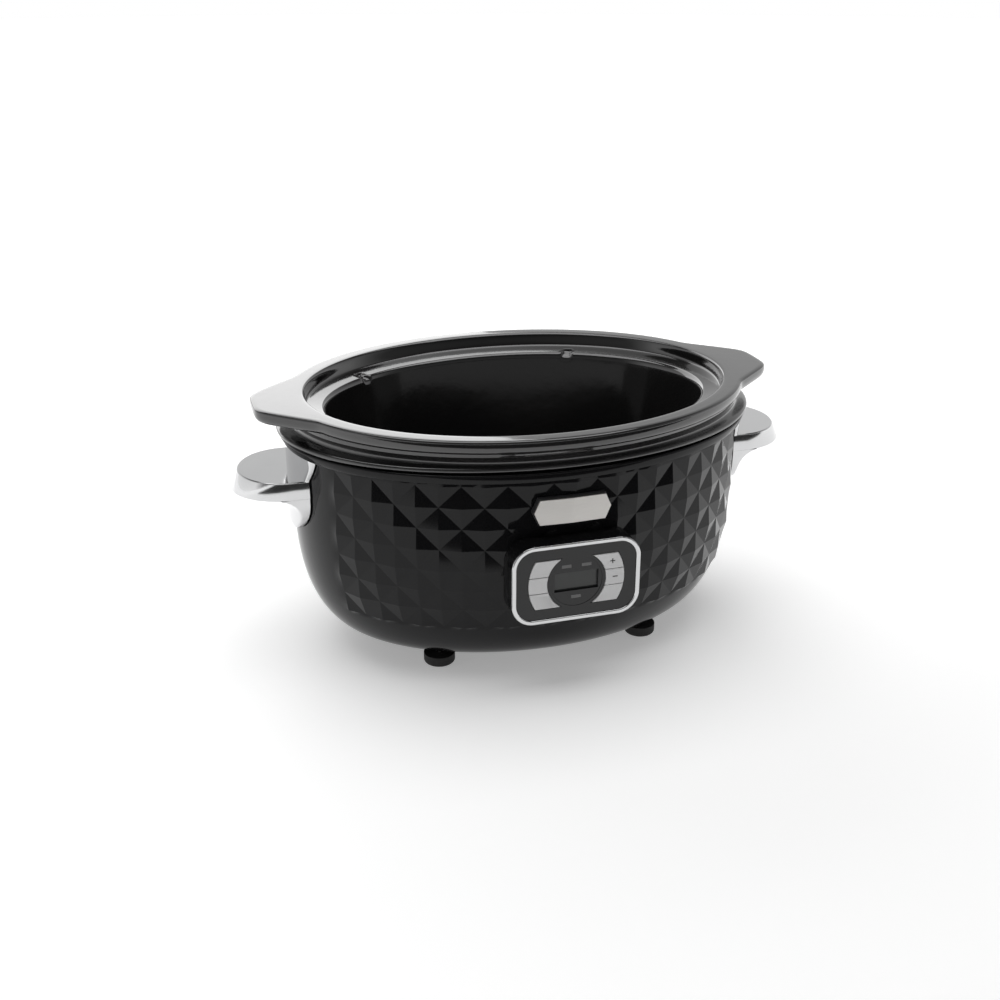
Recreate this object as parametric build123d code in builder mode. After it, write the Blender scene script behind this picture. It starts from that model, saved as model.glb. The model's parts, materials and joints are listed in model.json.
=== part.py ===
"""An oval slow cooker with push-button controls, built as it comes apart on a bench.

Millimetres, +Z up. The origin is on the surface that the feet stand on, at the
centre of the oval. The control panel faces -Y and the two handles lie along X.
"""

from build123d import *
import math
import os

os.makedirs("parts", exist_ok=True)

# ---------------------------------------------------------------- driving dimensions
# Every oval in the cooker is an ellipse whose two half-axes are the body's or the
# rim's, moved in or out by one amount.

# Outer shell
body_half_length = 169.5
body_half_width = 124.5
body_top = 161.5
shell_wall = 2.5
knee_height = 110.0
belly_depth = 50.0
belly_bottom = 8.5
belly_sections = 9
opening_inset = 62.0

# Feet
foot_height = 8.0
foot_radius = 11.5
foot_inset = 41.0
foot_angle = 52.0
foot_pad_radius = 12.5
foot_pad_depth = 10.0
foot_rounding = 2.5
foot_recess = 4.2

# Top ring
ring_overhang_end = 8.4
ring_overhang_side = 1.6
ring_foot_end = 5.0
ring_skirt = 3.0
ring_web = 3.5

# Stoneware crock
rim_half_length = 172.0
rim_half_width = 131.5
rim_height = 25.4
rim_above_ring = 0.6
flange_half_length = 179.0
wall_inset = 22.5
wall_taper = 15.5
ear_reach = 195.5
ear_thickness = 9.9
ear_tip_half_width = 19.7
ear_flank_inset = 9.4
ear_flank_start = 130.0
ear_corner_radius = 24.0
ear_root_radius = 22.0
crock_floor = 8.0
crock_depth = 125.6
ledge_drop = 11.9
notch_radius = 4.0
notch_angles = (60.8, 134.2)

# Heating well that the crock stands in
well_clearance = 3.0
well_floor_gap = 2.5
well_wall = 1.0
well_flange_width = 8.0
well_flange_thickness = 1.2

# Heater band round the well
heater_above_well = 35.5
heater_height = 32.0
heater_thickness = 2.0
clamp_height = 8.0
clamp_thickness = 0.8
clamp_ear = 9.0

# Chrome handles
handle_top = 141.0
handle_plate = 13.5
handle_tip_length = 34.0
handle_half_width = 36.5
handle_reach = 39.5
handle_draft = 6.0
handle_side_draft = 1.2
bracket_drop = 46.0
bracket_spring_drop = 4.0
bracket_lip = 5.0
flange_half_width = 45.0
flange_thickness = 2.6
gasket_thickness = 0.8
handle_screw_spacing = 36.0
handle_screw_height = 134.0

# Control panel
panel_half_width = 46.1
panel_half_height = 29.2
panel_corner = 16.0
panel_height = 89.0
panel_stand_off = 15.0
frame_width = 3.2
frame_depth = 2.7
face_recess = 1.0
face_thickness = 2.0
pod_wall = 2.5
pod_neck_inset = 4.1
pod_back = 23.5
window_radius = 18.5
display_width = 31.5
display_height = 14.0
button_inner_radius = 21.2
button_outer_radius = 34.4
button_half_height = 18.0
button_split = 12.0
button_proud = 0.6
button_travel = 0.8
button_gap = 0.4
button_collar = 0.9
button_collar_thickness = 1.0
button_stem_radius = 2.4
keypad_thickness = 1.0
keypad_dome = 1.5
board_front = 10.0
board_post_radius = 3.2
lamp_width = 7.0
lamp_height = 2.4
lamp_places = ((-7.1, 11.5), (7.1, 11.5), (0.0, -11.8))

# Badge
badge_half_length = 27.3
badge_flat_half_length = 23.3
badge_half_height = 9.0
badge_height = 137.5
badge_bend = 1.2
badge_thickness = 1.6
badge_backing_thickness = 3.4

# Cord gland at the back
gland_height = 60.0
gland_bore_radius = 3.6
gland_radius = 7.0
gland_flange_radius = 10.5
gland_flange = 2.5
gland_step = 1.0
gland_length = 16.0
boot_radius = 7.4
boot_taper = 8.0

# Electronics under the well
board_length = 84.0
board_width = 60.0
board_thickness = 1.6
board_centre_x = 52.0
board_height = 18.0
ribbon_x = 13.0
ribbon_width = 14.0

# Fits and fasteners
clearance = 0.3
screw_radius = 1.5
screw_head_radius = 3.2
screw_head_height = 2.2
stud_radius = 2.5
base_plate_thickness = 2.0
face_gap = 0.15
small_screw_radius = 1.2
small_screw_head = 2.4
small_screw_length = 8.0


# ---------------------------------------------------------------- shared shapes
def ellipse_stack(rings):
    """A closed solid through ellipses given as (height, half-length, half-width)."""
    with BuildPart() as stack:
        for height, half_length, half_width in rings:
            with BuildSketch(Plane.XY.offset(height)):
                Ellipse(half_length, half_width)
        loft(ruled=True)
    return stack.part


def body_ring(height, inset):
    """One ring of the body oval, moved in by inset."""
    return height, body_half_length - inset, body_half_width - inset


def rim_ring(height, inset, longer=0.0):
    """One ring of the crock's rim oval, moved in by inset; longer lets its ends out."""
    return height, rim_half_length - inset + longer, rim_half_width - inset


def belly_inset(height):
    """How far the shell's wall has curved in at this height."""
    drop = max(0.0, (knee_height - height) / (knee_height - belly_bottom))
    return belly_depth * (1 - (1 - min(drop, 1.0) ** 2.5) ** (1 / 2.2))


def belly_rings(skin):
    """The shell's outer rings, or its inner ones when skin is the wall's thickness."""
    rings = [body_ring(belly_bottom + skin, belly_depth + skin)]
    for step in range(1, belly_sections):
        drop = math.cos(step / belly_sections * math.pi / 2) ** 0.8
        height = knee_height - drop * (knee_height - belly_bottom)
        lift = skin * drop
        rings.append(body_ring(height + lift, belly_inset(height) + skin))
    rings.append(body_ring(knee_height, skin))
    rings.append(body_ring(body_top, skin))
    return rings


def y_on_oval(x, outwards=0.0):
    """The half-width of the body oval at x, moved outwards."""
    half_length = body_half_length + outwards
    return (body_half_width + outwards) * math.sqrt(1 - (x / half_length) ** 2)


def x_on_oval(y, outwards=0.0):
    """The half-length of the body oval at y, moved outwards."""
    half_width = body_half_width + outwards
    return (body_half_length + outwards) * math.sqrt(1 - (y / half_width) ** 2)


def front_plane(y, height):
    """An upright plane that faces the front; X to the right and Y up."""
    return Plane(origin=(0, y, height), x_dir=(1, 0, 0), z_dir=(0, -1, 0))


def back_plane(y, height):
    """An upright plane that faces the back, X to the left of someone behind."""
    return Plane(origin=(0, y, height), x_dir=(-1, 0, 0), z_dir=(0, 1, 0))


def panel_plane(depth):
    """The panel's plane, this far behind its frame; X to the right and Y up."""
    return front_plane(-(body_half_width + panel_stand_off) + depth, panel_height)


def end_plane(side, x):
    """A plane across the cooker's end at x, its normal pointing outwards."""
    return Plane(origin=(side * x, 0, 0), x_dir=(0, side, 0), z_dir=(side, 0, 0))


LOW = (Align.CENTER, Align.CENTER, Align.MIN)
HIGH = (Align.CENTER, Align.CENTER, Align.MAX)
shell_outside = ellipse_stack(belly_rings(0.0))
shell_inside = ellipse_stack(belly_rings(shell_wall))
foot_places = [
    (
        sx * (body_half_length - foot_inset) * math.cos(math.radians(foot_angle)),
        sy * (body_half_width - foot_inset) * math.sin(math.radians(foot_angle)),
    )
    for sx in (-1, 1)
    for sy in (-1, 1)
]
base_screw_inset = (opening_inset + belly_depth) / 2 + 2.5
base_screw_places = [
    (body_half_length - base_screw_inset, 0),
    (-(body_half_length - base_screw_inset), 0),
    (0, body_half_width - base_screw_inset),
    (0, -(body_half_width - base_screw_inset)),
]
handle_screw_x = x_on_oval(handle_screw_spacing / 2) - shell_wall - 4.0
handle_hold = 18.0
handle_boss = shell_wall + 1.2
badge_pin_x = 16.0
badge_pin_radius = 1.5

# ---------------------------------------------------------------- outer shell
neck_half_width = panel_half_width - pod_neck_inset
neck_half_height = panel_half_height - pod_neck_inset
neck_corner = panel_corner - pod_neck_inset
gland_face = body_half_width + gland_step
with BuildPart() as housing_shell:
    add(shell_outside)
    add(shell_inside, mode=Mode.SUBTRACT)
    with BuildSketch(Plane.XY.offset(belly_bottom)):
        Ellipse(body_half_length - opening_inset, body_half_width - opening_inset)
    extrude(amount=shell_wall, mode=Mode.SUBTRACT)
    with Locations([(x, y, foot_height) for x, y in foot_places]):
        Cylinder(foot_pad_radius, foot_pad_depth, align=LOW)
        Cylinder(screw_radius, foot_pad_depth - 2, align=LOW, mode=Mode.SUBTRACT)
    with Locations([(x, y, belly_bottom) for x, y in base_screw_places]):
        Cylinder(4, 9, align=LOW)
        Cylinder(screw_radius, 7, align=LOW, mode=Mode.SUBTRACT)
    for side in (-1, 1):
        for y in (-handle_screw_spacing / 2, handle_screw_spacing / 2):
            with BuildSketch(end_plane(side, handle_screw_x)):
                with Locations((y, handle_screw_height)):
                    Circle(6)
            extrude(amount=handle_boss)
    with BuildSketch(front_plane(gland_face, gland_height)):
        Circle(gland_flange_radius + 2)
    extrude(amount=gland_face - y_on_oval(0) + belly_inset(gland_height - 12) + 3)
    for side in (-1, 1):
        for y in (-handle_screw_spacing / 2, handle_screw_spacing / 2):
            with BuildSketch(end_plane(side, handle_screw_x)):
                with Locations((y, handle_screw_height)):
                    Circle(screw_radius + 0.5)
            extrude(amount=shell_wall + 8, mode=Mode.SUBTRACT)
    with BuildSketch(front_plane(gland_face, gland_height)):
        Circle(gland_radius + clearance)
    extrude(amount=30, mode=Mode.SUBTRACT)
    with BuildSketch(panel_plane(0)):
        RectangleRounded(
            2 * (neck_half_width + clearance),
            2 * (neck_half_height + clearance),
            neck_corner + clearance,
        )
    extrude(amount=-60, mode=Mode.SUBTRACT)
    with BuildSketch(front_plane(-body_half_width - 2, badge_height)):
        with Locations((-badge_pin_x, 0), (badge_pin_x, 0)):
            Circle(badge_pin_radius + 0.2)
    extrude(amount=-20, mode=Mode.SUBTRACT)
housing_shell.part.label = "housing_shell"
export_step(housing_shell.part, "parts/housing_shell.step")

# ---------------------------------------------------------------- base plate and feet
plate_bottom = belly_bottom - base_plate_thickness
cup_radius = 13.0
cup_height = 6.0
nut_recess = 4.0
board_hole_x = board_length / 2 - 5
board_hole_y = board_width / 2 - 5
with BuildPart() as base_plate:
    with BuildSketch(Plane.XY.offset(plate_bottom)):
        Ellipse(body_half_length - opening_inset + 6.5, body_half_width - opening_inset + 6.5)
    extrude(amount=base_plate_thickness)
    with Locations((0, 0, plate_bottom)):
        Cylinder(cup_radius, cup_height, align=LOW)
        Cylinder(cup_radius - 2.5, nut_recess, align=LOW, mode=Mode.SUBTRACT)
        Cylinder(stud_radius + clearance, cup_height, align=LOW, mode=Mode.SUBTRACT)
    with Locations((board_centre_x, 0, belly_bottom)):
        with GridLocations(2 * board_hole_x, 2 * board_hole_y, 2, 2):
            Cylinder(3.5, board_height - belly_bottom, align=LOW)
            Cylinder(screw_radius, board_height - belly_bottom, align=LOW, mode=Mode.SUBTRACT)
    with BuildSketch(Plane.XY.offset(plate_bottom)):
        with Locations((-50, 0)):
            with GridLocations(0, 9, 1, 7):
                SlotOverall(44, 3)
    extrude(amount=base_plate_thickness, mode=Mode.SUBTRACT)
    with Locations([(x, y, plate_bottom) for x, y in base_screw_places]):
        Cylinder(screw_radius + 0.2, base_plate_thickness, align=LOW, mode=Mode.SUBTRACT)
base_plate.part.label = "base_plate"
export_step(base_plate.part, "parts/base_plate.step")

with BuildPart() as base_screws:
    with Locations([(x, y, plate_bottom - screw_head_height) for x, y in base_screw_places]):
        Cylinder(screw_head_radius, screw_head_height, align=LOW)
        Cylinder(screw_radius, screw_head_height + 8, align=LOW)
base_screws.part.label = "base_screws"
export_step(base_screws.part, "parts/base_screws.step")

foot_names = ("rear_left", "front_left", "rear_right", "front_right")
foot_order = ((-1, 1), (-1, -1), (1, 1), (1, -1))
for foot_name, (sx, sy) in zip(foot_names, foot_order):
    foot_x = sx * abs(foot_places[0][0])
    foot_y = sy * abs(foot_places[0][1])
    with BuildPart() as foot:
        with Locations((foot_x, foot_y, 0)):
            Cylinder(foot_radius, foot_height, align=LOW)
        fillet(foot.edges().filter_by(GeomType.CIRCLE).sort_by(Axis.Z)[0], radius=foot_rounding)
        with Locations((foot_x, foot_y, 0)):
            Cylinder(screw_head_radius + 2 * clearance, foot_recess, align=LOW, mode=Mode.SUBTRACT)
            Cylinder(screw_radius + clearance, foot_height, align=LOW, mode=Mode.SUBTRACT)
    foot.part.label = f"foot_{foot_name}"
    export_step(foot.part, f"parts/foot_{foot_name}.step")

with BuildPart() as foot_screws:
    with Locations([(x, y, foot_recess - screw_head_height) for x, y in foot_places]):
        Cylinder(screw_head_radius, screw_head_height, align=LOW)
        Cylinder(screw_radius, screw_head_height + foot_height, align=LOW)
foot_screws.part.label = "foot_screws"
export_step(foot_screws.part, "parts/foot_screws.step")

# ---------------------------------------------------------------- crock
# The crock hangs by its rim on the well's flange. Its outer wall is a stack of ovals
# from the rim's underside to the floor, and its cavity is a second stack inside it.
ring_top = body_top + ring_web
crock_seat = ring_top + rim_above_ring
rim_top = ring_top + rim_height
pot_bottom = crock_seat - crock_depth
pot_rings = [
    (crock_seat + 2, wall_inset),
    (pot_bottom + 30, wall_inset + wall_taper),
    (pot_bottom + 10, wall_inset + wall_taper + 8),
    (pot_bottom + 2.5, wall_inset + wall_taper + 18),
    (pot_bottom, wall_inset + wall_taper + 28),
]
flange_longer = flange_half_length - rim_half_length
rim_rings = [
    (crock_seat, 8.2, flange_longer + 5.7),
    (crock_seat + 1.0, 6.5, flange_longer + 6.5),
    (crock_seat + 3.8, 6.1, flange_longer + 6.1),
    (crock_seat + 5.4, 8.2, 6.2),
    (crock_seat + 10.5, 6.3, 2.3),
    (rim_top - 7.0, 1.4, 0.0),
    (rim_top - 3.2, 0.0, 0.0),
    (rim_top - 1.2, 0.9, 0.0),
    (rim_top, 3.2, 0.0),
]
ledge_height = rim_top - ledge_drop
ledge_inset = 29.5
ledge_longer = 2.5
cavity_floor = pot_bottom + crock_floor
recess_rings = [
    (rim_top, 11.0, -2.5),
    (rim_top - 1.8, 13.0, -1.5),
    (ledge_height + 2, 17.5, 1.5),
    (ledge_height, 19.5, ledge_longer),
]
cavity_rings = [
    (ledge_height, ledge_inset, ledge_longer),
    (ledge_height - 1.6, ledge_inset + 2.0, ledge_longer),
    (cavity_floor + 26, wall_inset + wall_taper + 9.5, 0.0),
    (cavity_floor + 8, wall_inset + wall_taper + 15, 0.0),
    (cavity_floor + 2, wall_inset + wall_taper + 23, 0.0),
    (cavity_floor, wall_inset + wall_taper + 34, 0.0),
]
pot_wall = ellipse_stack([rim_ring(h, i) for h, i in reversed(pot_rings)])
rim_body = ellipse_stack([rim_ring(*row) for row in rim_rings])
recess = ellipse_stack([rim_ring(*row) for row in reversed(recess_rings)])
cavity = ellipse_stack([rim_ring(*row) for row in reversed(cavity_rings)])

ear_root_half_width = rim_half_width * math.sqrt(1 - (ear_flank_start / rim_half_length) ** 2)
ear_flank_half_width = ear_root_half_width - ear_flank_inset
with BuildPart() as ears:
    with BuildSketch(Plane.XY.offset(rim_top - ear_thickness)):
        Ellipse(rim_half_length - 3, rim_half_width - 3)
        for side in (-1, 1):
            Polygon(
                (side * ear_reach, ear_tip_half_width),
                (side * ear_flank_start, ear_flank_half_width),
                (side * ear_flank_start, -ear_flank_half_width),
                (side * ear_reach, -ear_tip_half_width),
                align=None,
            )
    extrude(amount=ear_thickness)
    tips = ears.edges().filter_by(Axis.Z).filter_by(lambda e: abs(e.center().X) > ear_reach - 1)
    fillet(tips, radius=ear_corner_radius)
    roots = ears.edges().filter_by(Axis.Z).filter_by(
        lambda e: abs(e.center().Y) > ear_tip_half_width + 10 and abs(e.center().X) > ear_flank_start
    )
    fillet(roots, radius=ear_root_radius)
    lower = ears.edges().group_by(Axis.Z)[0]
    chamfer(lower, length=3.0)
    upper = ears.edges().group_by(Axis.Z)[-1]
    fillet(upper, radius=1.5)

with BuildPart() as crock:
    add(rim_body)
    add(ears.part)
    add(pot_wall)
    add(recess, mode=Mode.SUBTRACT)
    add(cavity, mode=Mode.SUBTRACT)
    for angle in notch_angles:
        for turn in (0, 180):
            around = math.radians(angle + turn)
            notch_x = (rim_half_length - ledge_inset + ledge_longer) * math.cos(around)
            notch_y = (rim_half_width - ledge_inset) * math.sin(around)
            with Locations((notch_x, notch_y, ledge_height - 3)):
                Cylinder(notch_radius, 6, align=LOW, mode=Mode.SUBTRACT)
crock.part.label = "crock"
export_step(crock.part, "parts/crock.step")

# ---------------------------------------------------------------- heating well
def well_rings(outwards):
    """The well's rings, this far outside the crock's wall."""
    lowered = well_floor_gap + (outwards - well_clearance)
    return [(h - lowered, i - outwards) for h, i in pot_rings[1:]]


def well_inset(height, outwards):
    """The inset of the well's straight wall at a height."""
    top_height, top_inset = ring_top, wall_inset - outwards
    low_height, low_inset = well_rings(outwards)[0]
    share = (top_height - height) / (top_height - low_height)
    return top_inset + share * (low_inset - top_inset)


well_out = well_clearance + well_wall
with BuildPart() as heating_well:
    add(
        ellipse_stack(
            [rim_ring(h, i) for h, i in reversed(well_rings(well_out))]
            + [rim_ring(ring_top, wall_inset - well_out)]
        )
    )
    with BuildSketch(Plane.XY.offset(ring_top - well_flange_thickness)):
        flange_inset = wall_inset - well_out - well_flange_width
        Ellipse(rim_half_length - flange_inset, rim_half_width - flange_inset)
    extrude(amount=well_flange_thickness)
    add(
        ellipse_stack(
            [rim_ring(h, i) for h, i in reversed(well_rings(well_clearance))]
            + [rim_ring(ring_top, wall_inset - well_clearance)]
        ),
        mode=Mode.SUBTRACT,
    )
heating_well.part.label = "heating_well"
export_step(heating_well.part, "parts/heating_well.step")
well_bottom = pot_bottom - well_floor_gap - well_wall

# ---------------------------------------------------------------- top ring
with BuildPart() as top_ring:
    ring_side = body_half_width + ring_overhang_side
    add(
        ellipse_stack(
            [
                (body_top - ring_skirt, body_half_length + ring_foot_end, ring_side),
                (ring_top, body_half_length + ring_overhang_end, ring_side),
            ]
        )
    )
    fillet(top_ring.edges().group_by(Axis.Z)[-1], radius=1.4)
    with BuildSketch(Plane.XY.offset(body_top - ring_skirt)):
        Ellipse(body_half_length + clearance, body_half_width + clearance)
    extrude(amount=ring_skirt, mode=Mode.SUBTRACT)
    with BuildSketch(Plane.XY.offset(body_top)):
        opening = wall_inset - well_out - clearance
        Ellipse(rim_half_length - opening, rim_half_width - opening)
    extrude(amount=ring_web, mode=Mode.SUBTRACT)
    with BuildSketch(Plane.XY.offset(ring_top - well_flange_thickness)):
        seat = opening - well_flange_width
        Ellipse(rim_half_length - seat, rim_half_width - seat)
    extrude(amount=well_flange_thickness, mode=Mode.SUBTRACT)
top_ring.part.label = "top_ring"
export_step(top_ring.part, "parts/top_ring.step")

# ---------------------------------------------------------------- stud that ties it together
stud_length = well_bottom - plate_bottom + 1.5
with BuildPart() as centre_stud:
    with Locations((0, 0, well_bottom)):
        Cylinder(7, 1.0, align=HIGH)
        Cylinder(stud_radius, stud_length, align=HIGH)
centre_stud.part.label = "centre_stud"
export_step(centre_stud.part, "parts/centre_stud.step")

with BuildPart() as stud_washer:
    with Locations((0, 0, plate_bottom + nut_recess - 1.0)):
        Cylinder(8, 1.0, align=LOW)
        Cylinder(stud_radius, 1.0, align=LOW, mode=Mode.SUBTRACT)
stud_washer.part.label = "stud_washer"
export_step(stud_washer.part, "parts/stud_washer.step")

with BuildPart() as stud_nut:
    with BuildSketch(Plane.XY.offset(plate_bottom + nut_recess - 5.0)):
        RegularPolygon(4.6, 6)
        Circle(stud_radius, mode=Mode.SUBTRACT)
    extrude(amount=4.0)
stud_nut.part.label = "stud_nut"
export_step(stud_nut.part, "parts/stud_nut.step")


# ---------------------------------------------------------------- heater round the well
def well_cone(bottom, top, outwards):
    """A solid that fills the well's tapered wall, this far outside its metal."""
    return ellipse_stack(
        [rim_ring(h, well_inset(h, well_out) - outwards) for h in (bottom, top)]
    )


heater_bottom = well_bottom + heater_above_well
heater_top = heater_bottom + heater_height
clamp_bottom = heater_bottom + (heater_height - clamp_height) / 2
clamp_top = clamp_bottom + clamp_height
clamp_inner = heater_thickness + 0.1
clamp_back = rim_half_width - well_inset(clamp_top, well_out) + clamp_inner + clamp_thickness
heater_outer_cone = well_cone(heater_bottom, heater_top, heater_thickness)
heater_inner_cone = well_cone(heater_bottom, heater_top, 0.1)
clamp_outer_cone = well_cone(clamp_bottom, clamp_top, clamp_inner + clamp_thickness)
clamp_inner_cone = well_cone(clamp_bottom, clamp_top, clamp_inner)

with BuildPart() as heater_band:
    add(heater_outer_cone)
    add(heater_inner_cone, mode=Mode.SUBTRACT)
    with Locations((0, -clamp_back, clamp_bottom + clamp_height / 2)):
        Box(1.5, 12, heater_height + 2, mode=Mode.SUBTRACT)
heater_band.part.label = "heater_band"
export_step(heater_band.part, "parts/heater_band.step")

with BuildPart() as heater_clamp:
    add(clamp_outer_cone)
    with Locations((0, clamp_back + clamp_ear / 2 - 3, clamp_bottom + clamp_height / 2)):
        Box(6, clamp_ear + 6, clamp_height)
    add(clamp_inner_cone, mode=Mode.SUBTRACT)
    with Locations((0, clamp_back + clamp_ear / 2 - 3, clamp_bottom + clamp_height / 2)):
        Box(3.6, clamp_ear + 8, clamp_height, mode=Mode.SUBTRACT)
    with BuildSketch(Plane.YZ.offset(-6)):
        with Locations((clamp_back + clamp_ear / 2, clamp_bottom + clamp_height / 2)):
            Circle(screw_radius + 0.1)
    extrude(amount=12, mode=Mode.SUBTRACT)
heater_clamp.part.label = "heater_clamp"
export_step(heater_clamp.part, "parts/heater_clamp.step")

with BuildPart() as clamp_bolt:
    bolt_at = (clamp_back + clamp_ear / 2, clamp_bottom + clamp_height / 2)
    with BuildSketch(Plane.YZ.offset(3)):
        with Locations(bolt_at):
            Circle(2.8)
    extrude(amount=2.0)
    with BuildSketch(Plane.YZ.offset(-7)):
        with Locations(bolt_at):
            Circle(screw_radius)
    extrude(amount=10)
    with BuildSketch(Plane.YZ.offset(-5.4)):
        with Locations(bolt_at):
            RegularPolygon(3.0, 6)
    extrude(amount=2.4)
clamp_bolt.part.label = "clamp_bolt"
export_step(clamp_bolt.part, "parts/clamp_bolt.step")


# ---------------------------------------------------------------- handles
plate_low = handle_top - handle_plate
bracket_low = handle_top - bracket_drop
bracket_spring = plate_low - bracket_spring_drop
handle_gap_width = gasket_thickness + clearance
# How far the bracket's face stands out of the body, and at what depth below the plate.
cove_profile = (
    (bracket_lip - 3.0, plate_low - bracket_low),
    (bracket_lip, plate_low - bracket_low - 4.0),
    (bracket_lip + 1.1, 14.0),
    (bracket_lip + 2.6, 9.2),
    (bracket_lip + 5.8, 4.6),
    (bracket_lip + 10.1, 1.8),
    (bracket_lip + 15.0, 0.0),
    (bracket_lip + 15.0, -2.0),
)


def handle_outline(half_width, reach):
    """The handle's plan: straight flanks out of the body and one elliptical end."""
    straight = body_half_length + handle_reach - handle_tip_length
    with BuildSketch(mode=Mode.PRIVATE) as plan:
        with BuildLine():
            Line((0, -half_width), (straight, -half_width))
            EllipticalCenterArc(
                (straight, 0),
                body_half_length + reach - straight,
                half_width,
                start_angle=-90,
                arc_size=180,
            )
            Line((straight, half_width), (0, half_width))
            Line((0, half_width), (0, -half_width))
        make_face()
    return plan.sketch


def handle_column(outwards):
    """The oval column this far off the shell, as tall as a handle's pad."""
    with BuildPart() as column:
        with BuildSketch(Plane.XY.offset(bracket_low - 5)):
            Ellipse(body_half_length + outwards, body_half_width + outwards)
        extrude(amount=body_top - bracket_low + 10)
    return column.part


def u_outline(top, half_width, low):
    """A U seen from the cooker's end: straight sides and an elliptical bottom."""
    with BuildSketch(Plane.YZ.offset(body_half_length / 2), mode=Mode.PRIVATE) as outline:
        with BuildLine():
            Line((half_width, top), (-half_width, top))
            Line((-half_width, top), (-half_width, bracket_spring))
            EllipticalCenterArc(
                (0, bracket_spring),
                half_width,
                bracket_spring - low,
                start_angle=180,
                arc_size=180,
            )
            Line((half_width, bracket_spring), (half_width, top))
        make_face()
    return outline.sketch


def flared_outline(low_half_width, top_half_width):
    """The pad above the plate, seen from the end: it widens upwards in two bulging arcs."""
    top = body_top - ring_skirt - clearance
    bulge_half_width = low_half_width + 0.75 * (top_half_width - low_half_width)
    bulge_height = handle_top + 0.6 * (top - handle_top)
    with BuildSketch(Plane.YZ.offset(body_half_length / 2), mode=Mode.PRIVATE) as outline:
        with BuildLine():
            Line((top_half_width, top), (-top_half_width, top))
            ThreePointArc(
                (-top_half_width, top),
                (-bulge_half_width, bulge_height),
                (-low_half_width, handle_top),
            )
            Line((-low_half_width, handle_top), (low_half_width, handle_top))
            ThreePointArc(
                (low_half_width, handle_top),
                (bulge_half_width, bulge_height),
                (top_half_width, top),
            )
        make_face()
    return outline.sketch


def escutcheon(inner, outer, margin):
    """The pad on the shell under a handle, between two distances off the shell."""
    side_edge = handle_half_width - margin
    with BuildPart() as pad:
        extrude(u_outline(handle_top, side_edge, bracket_low + margin), amount=body_half_length)
        extrude(flared_outline(side_edge, flange_half_width - margin), amount=body_half_length)
        add(handle_column(outer), mode=Mode.INTERSECT)
        add(handle_column(inner), mode=Mode.SUBTRACT)
    return pad.part


gasket_inner = clearance / 2
gasket_margin = 1.5
gasket_pad = escutcheon(gasket_inner, gasket_inner + gasket_thickness, gasket_margin)
flange_pad = escutcheon(handle_gap_width, handle_gap_width + flange_thickness, 0.0)
gap_column = handle_column(handle_gap_width)
plate_top_outline = handle_outline(handle_half_width, handle_reach)
plate_low_outline = handle_outline(
    handle_half_width + handle_side_draft, handle_reach + handle_draft
)

with BuildPart() as handle_plate_shape:
    with BuildSketch(Plane.XY.offset(plate_low)):
        add(plate_low_outline)
    with BuildSketch(Plane.XY.offset(handle_top)):
        add(plate_top_outline)
    loft(ruled=True)

with BuildPart() as bracket_shape:
    extrude(u_outline(plate_low + 2, handle_half_width, bracket_low), amount=body_half_length)
    add(
        ellipse_stack([body_ring(plate_low - down, -out) for out, down in cove_profile]),
        mode=Mode.INTERSECT,
    )

for side, hand in ((-1, "left"), (1, "right")):
    with BuildPart() as handle:
        add(handle_plate_shape.part)
        add(bracket_shape.part)
        add(flange_pad)
        add(gap_column, mode=Mode.SUBTRACT)
        for y in (-handle_screw_spacing / 2, handle_screw_spacing / 2):
            with BuildSketch(end_plane(1, handle_screw_x)):
                with Locations((y, handle_screw_height)):
                    Circle(screw_radius)
            extrude(amount=handle_hold, mode=Mode.SUBTRACT)
        if side < 0:
            mirror(about=Plane.YZ, mode=Mode.REPLACE)
    handle.part.label = f"handle_{hand}"
    export_step(handle.part, f"parts/handle_{hand}.step")

    with BuildPart() as gasket:
        add(gasket_pad)
        for y in (-handle_screw_spacing / 2, handle_screw_spacing / 2):
            with BuildSketch(end_plane(1, handle_screw_x)):
                with Locations((y, handle_screw_height)):
                    Circle(screw_radius + 0.5)
            extrude(amount=handle_hold, mode=Mode.SUBTRACT)
        if side < 0:
            mirror(about=Plane.YZ, mode=Mode.REPLACE)
    gasket.part.label = f"handle_gasket_{hand}"
    export_step(gasket.part, f"parts/handle_gasket_{hand}.step")

with BuildPart() as handle_screws:
    for side in (-1, 1):
        for y in (-handle_screw_spacing / 2, handle_screw_spacing / 2):
            with BuildSketch(end_plane(side, handle_screw_x - screw_head_height)):
                with Locations((y, handle_screw_height)):
                    Circle(screw_head_radius)
            extrude(amount=screw_head_height)
            with BuildSketch(end_plane(side, handle_screw_x)):
                with Locations((y, handle_screw_height)):
                    Circle(screw_radius)
            extrude(amount=handle_hold - 2)
handle_screws.part.label = "handle_screws"
export_step(handle_screws.part, "parts/handle_screws.step")

# ---------------------------------------------------------------- control panel
pod_front = frame_depth
face_front = face_recess
face_back = face_recess + face_thickness
frame_inner_half_width = panel_half_width - frame_width
frame_inner_half_height = panel_half_height - frame_width
frame_inner_corner = panel_corner - frame_width
face_half_width = frame_inner_half_width - face_gap
face_half_height = frame_inner_half_height - face_gap

board_screw_x = neck_half_width - 5
board_screw_y = neck_half_height - 13

with BuildPart() as pod_body:
    with BuildSketch(panel_plane(pod_front)):
        RectangleRounded(2 * panel_half_width, 2 * panel_half_height, panel_corner)
    extrude(amount=-(panel_stand_off + 12))
    with BuildSketch(Plane.XY.offset(panel_height - panel_half_height - 2)):
        Ellipse(body_half_length + 0.1, body_half_width + 0.1)
    extrude(amount=2 * panel_half_height + 4, mode=Mode.SUBTRACT)

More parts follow.
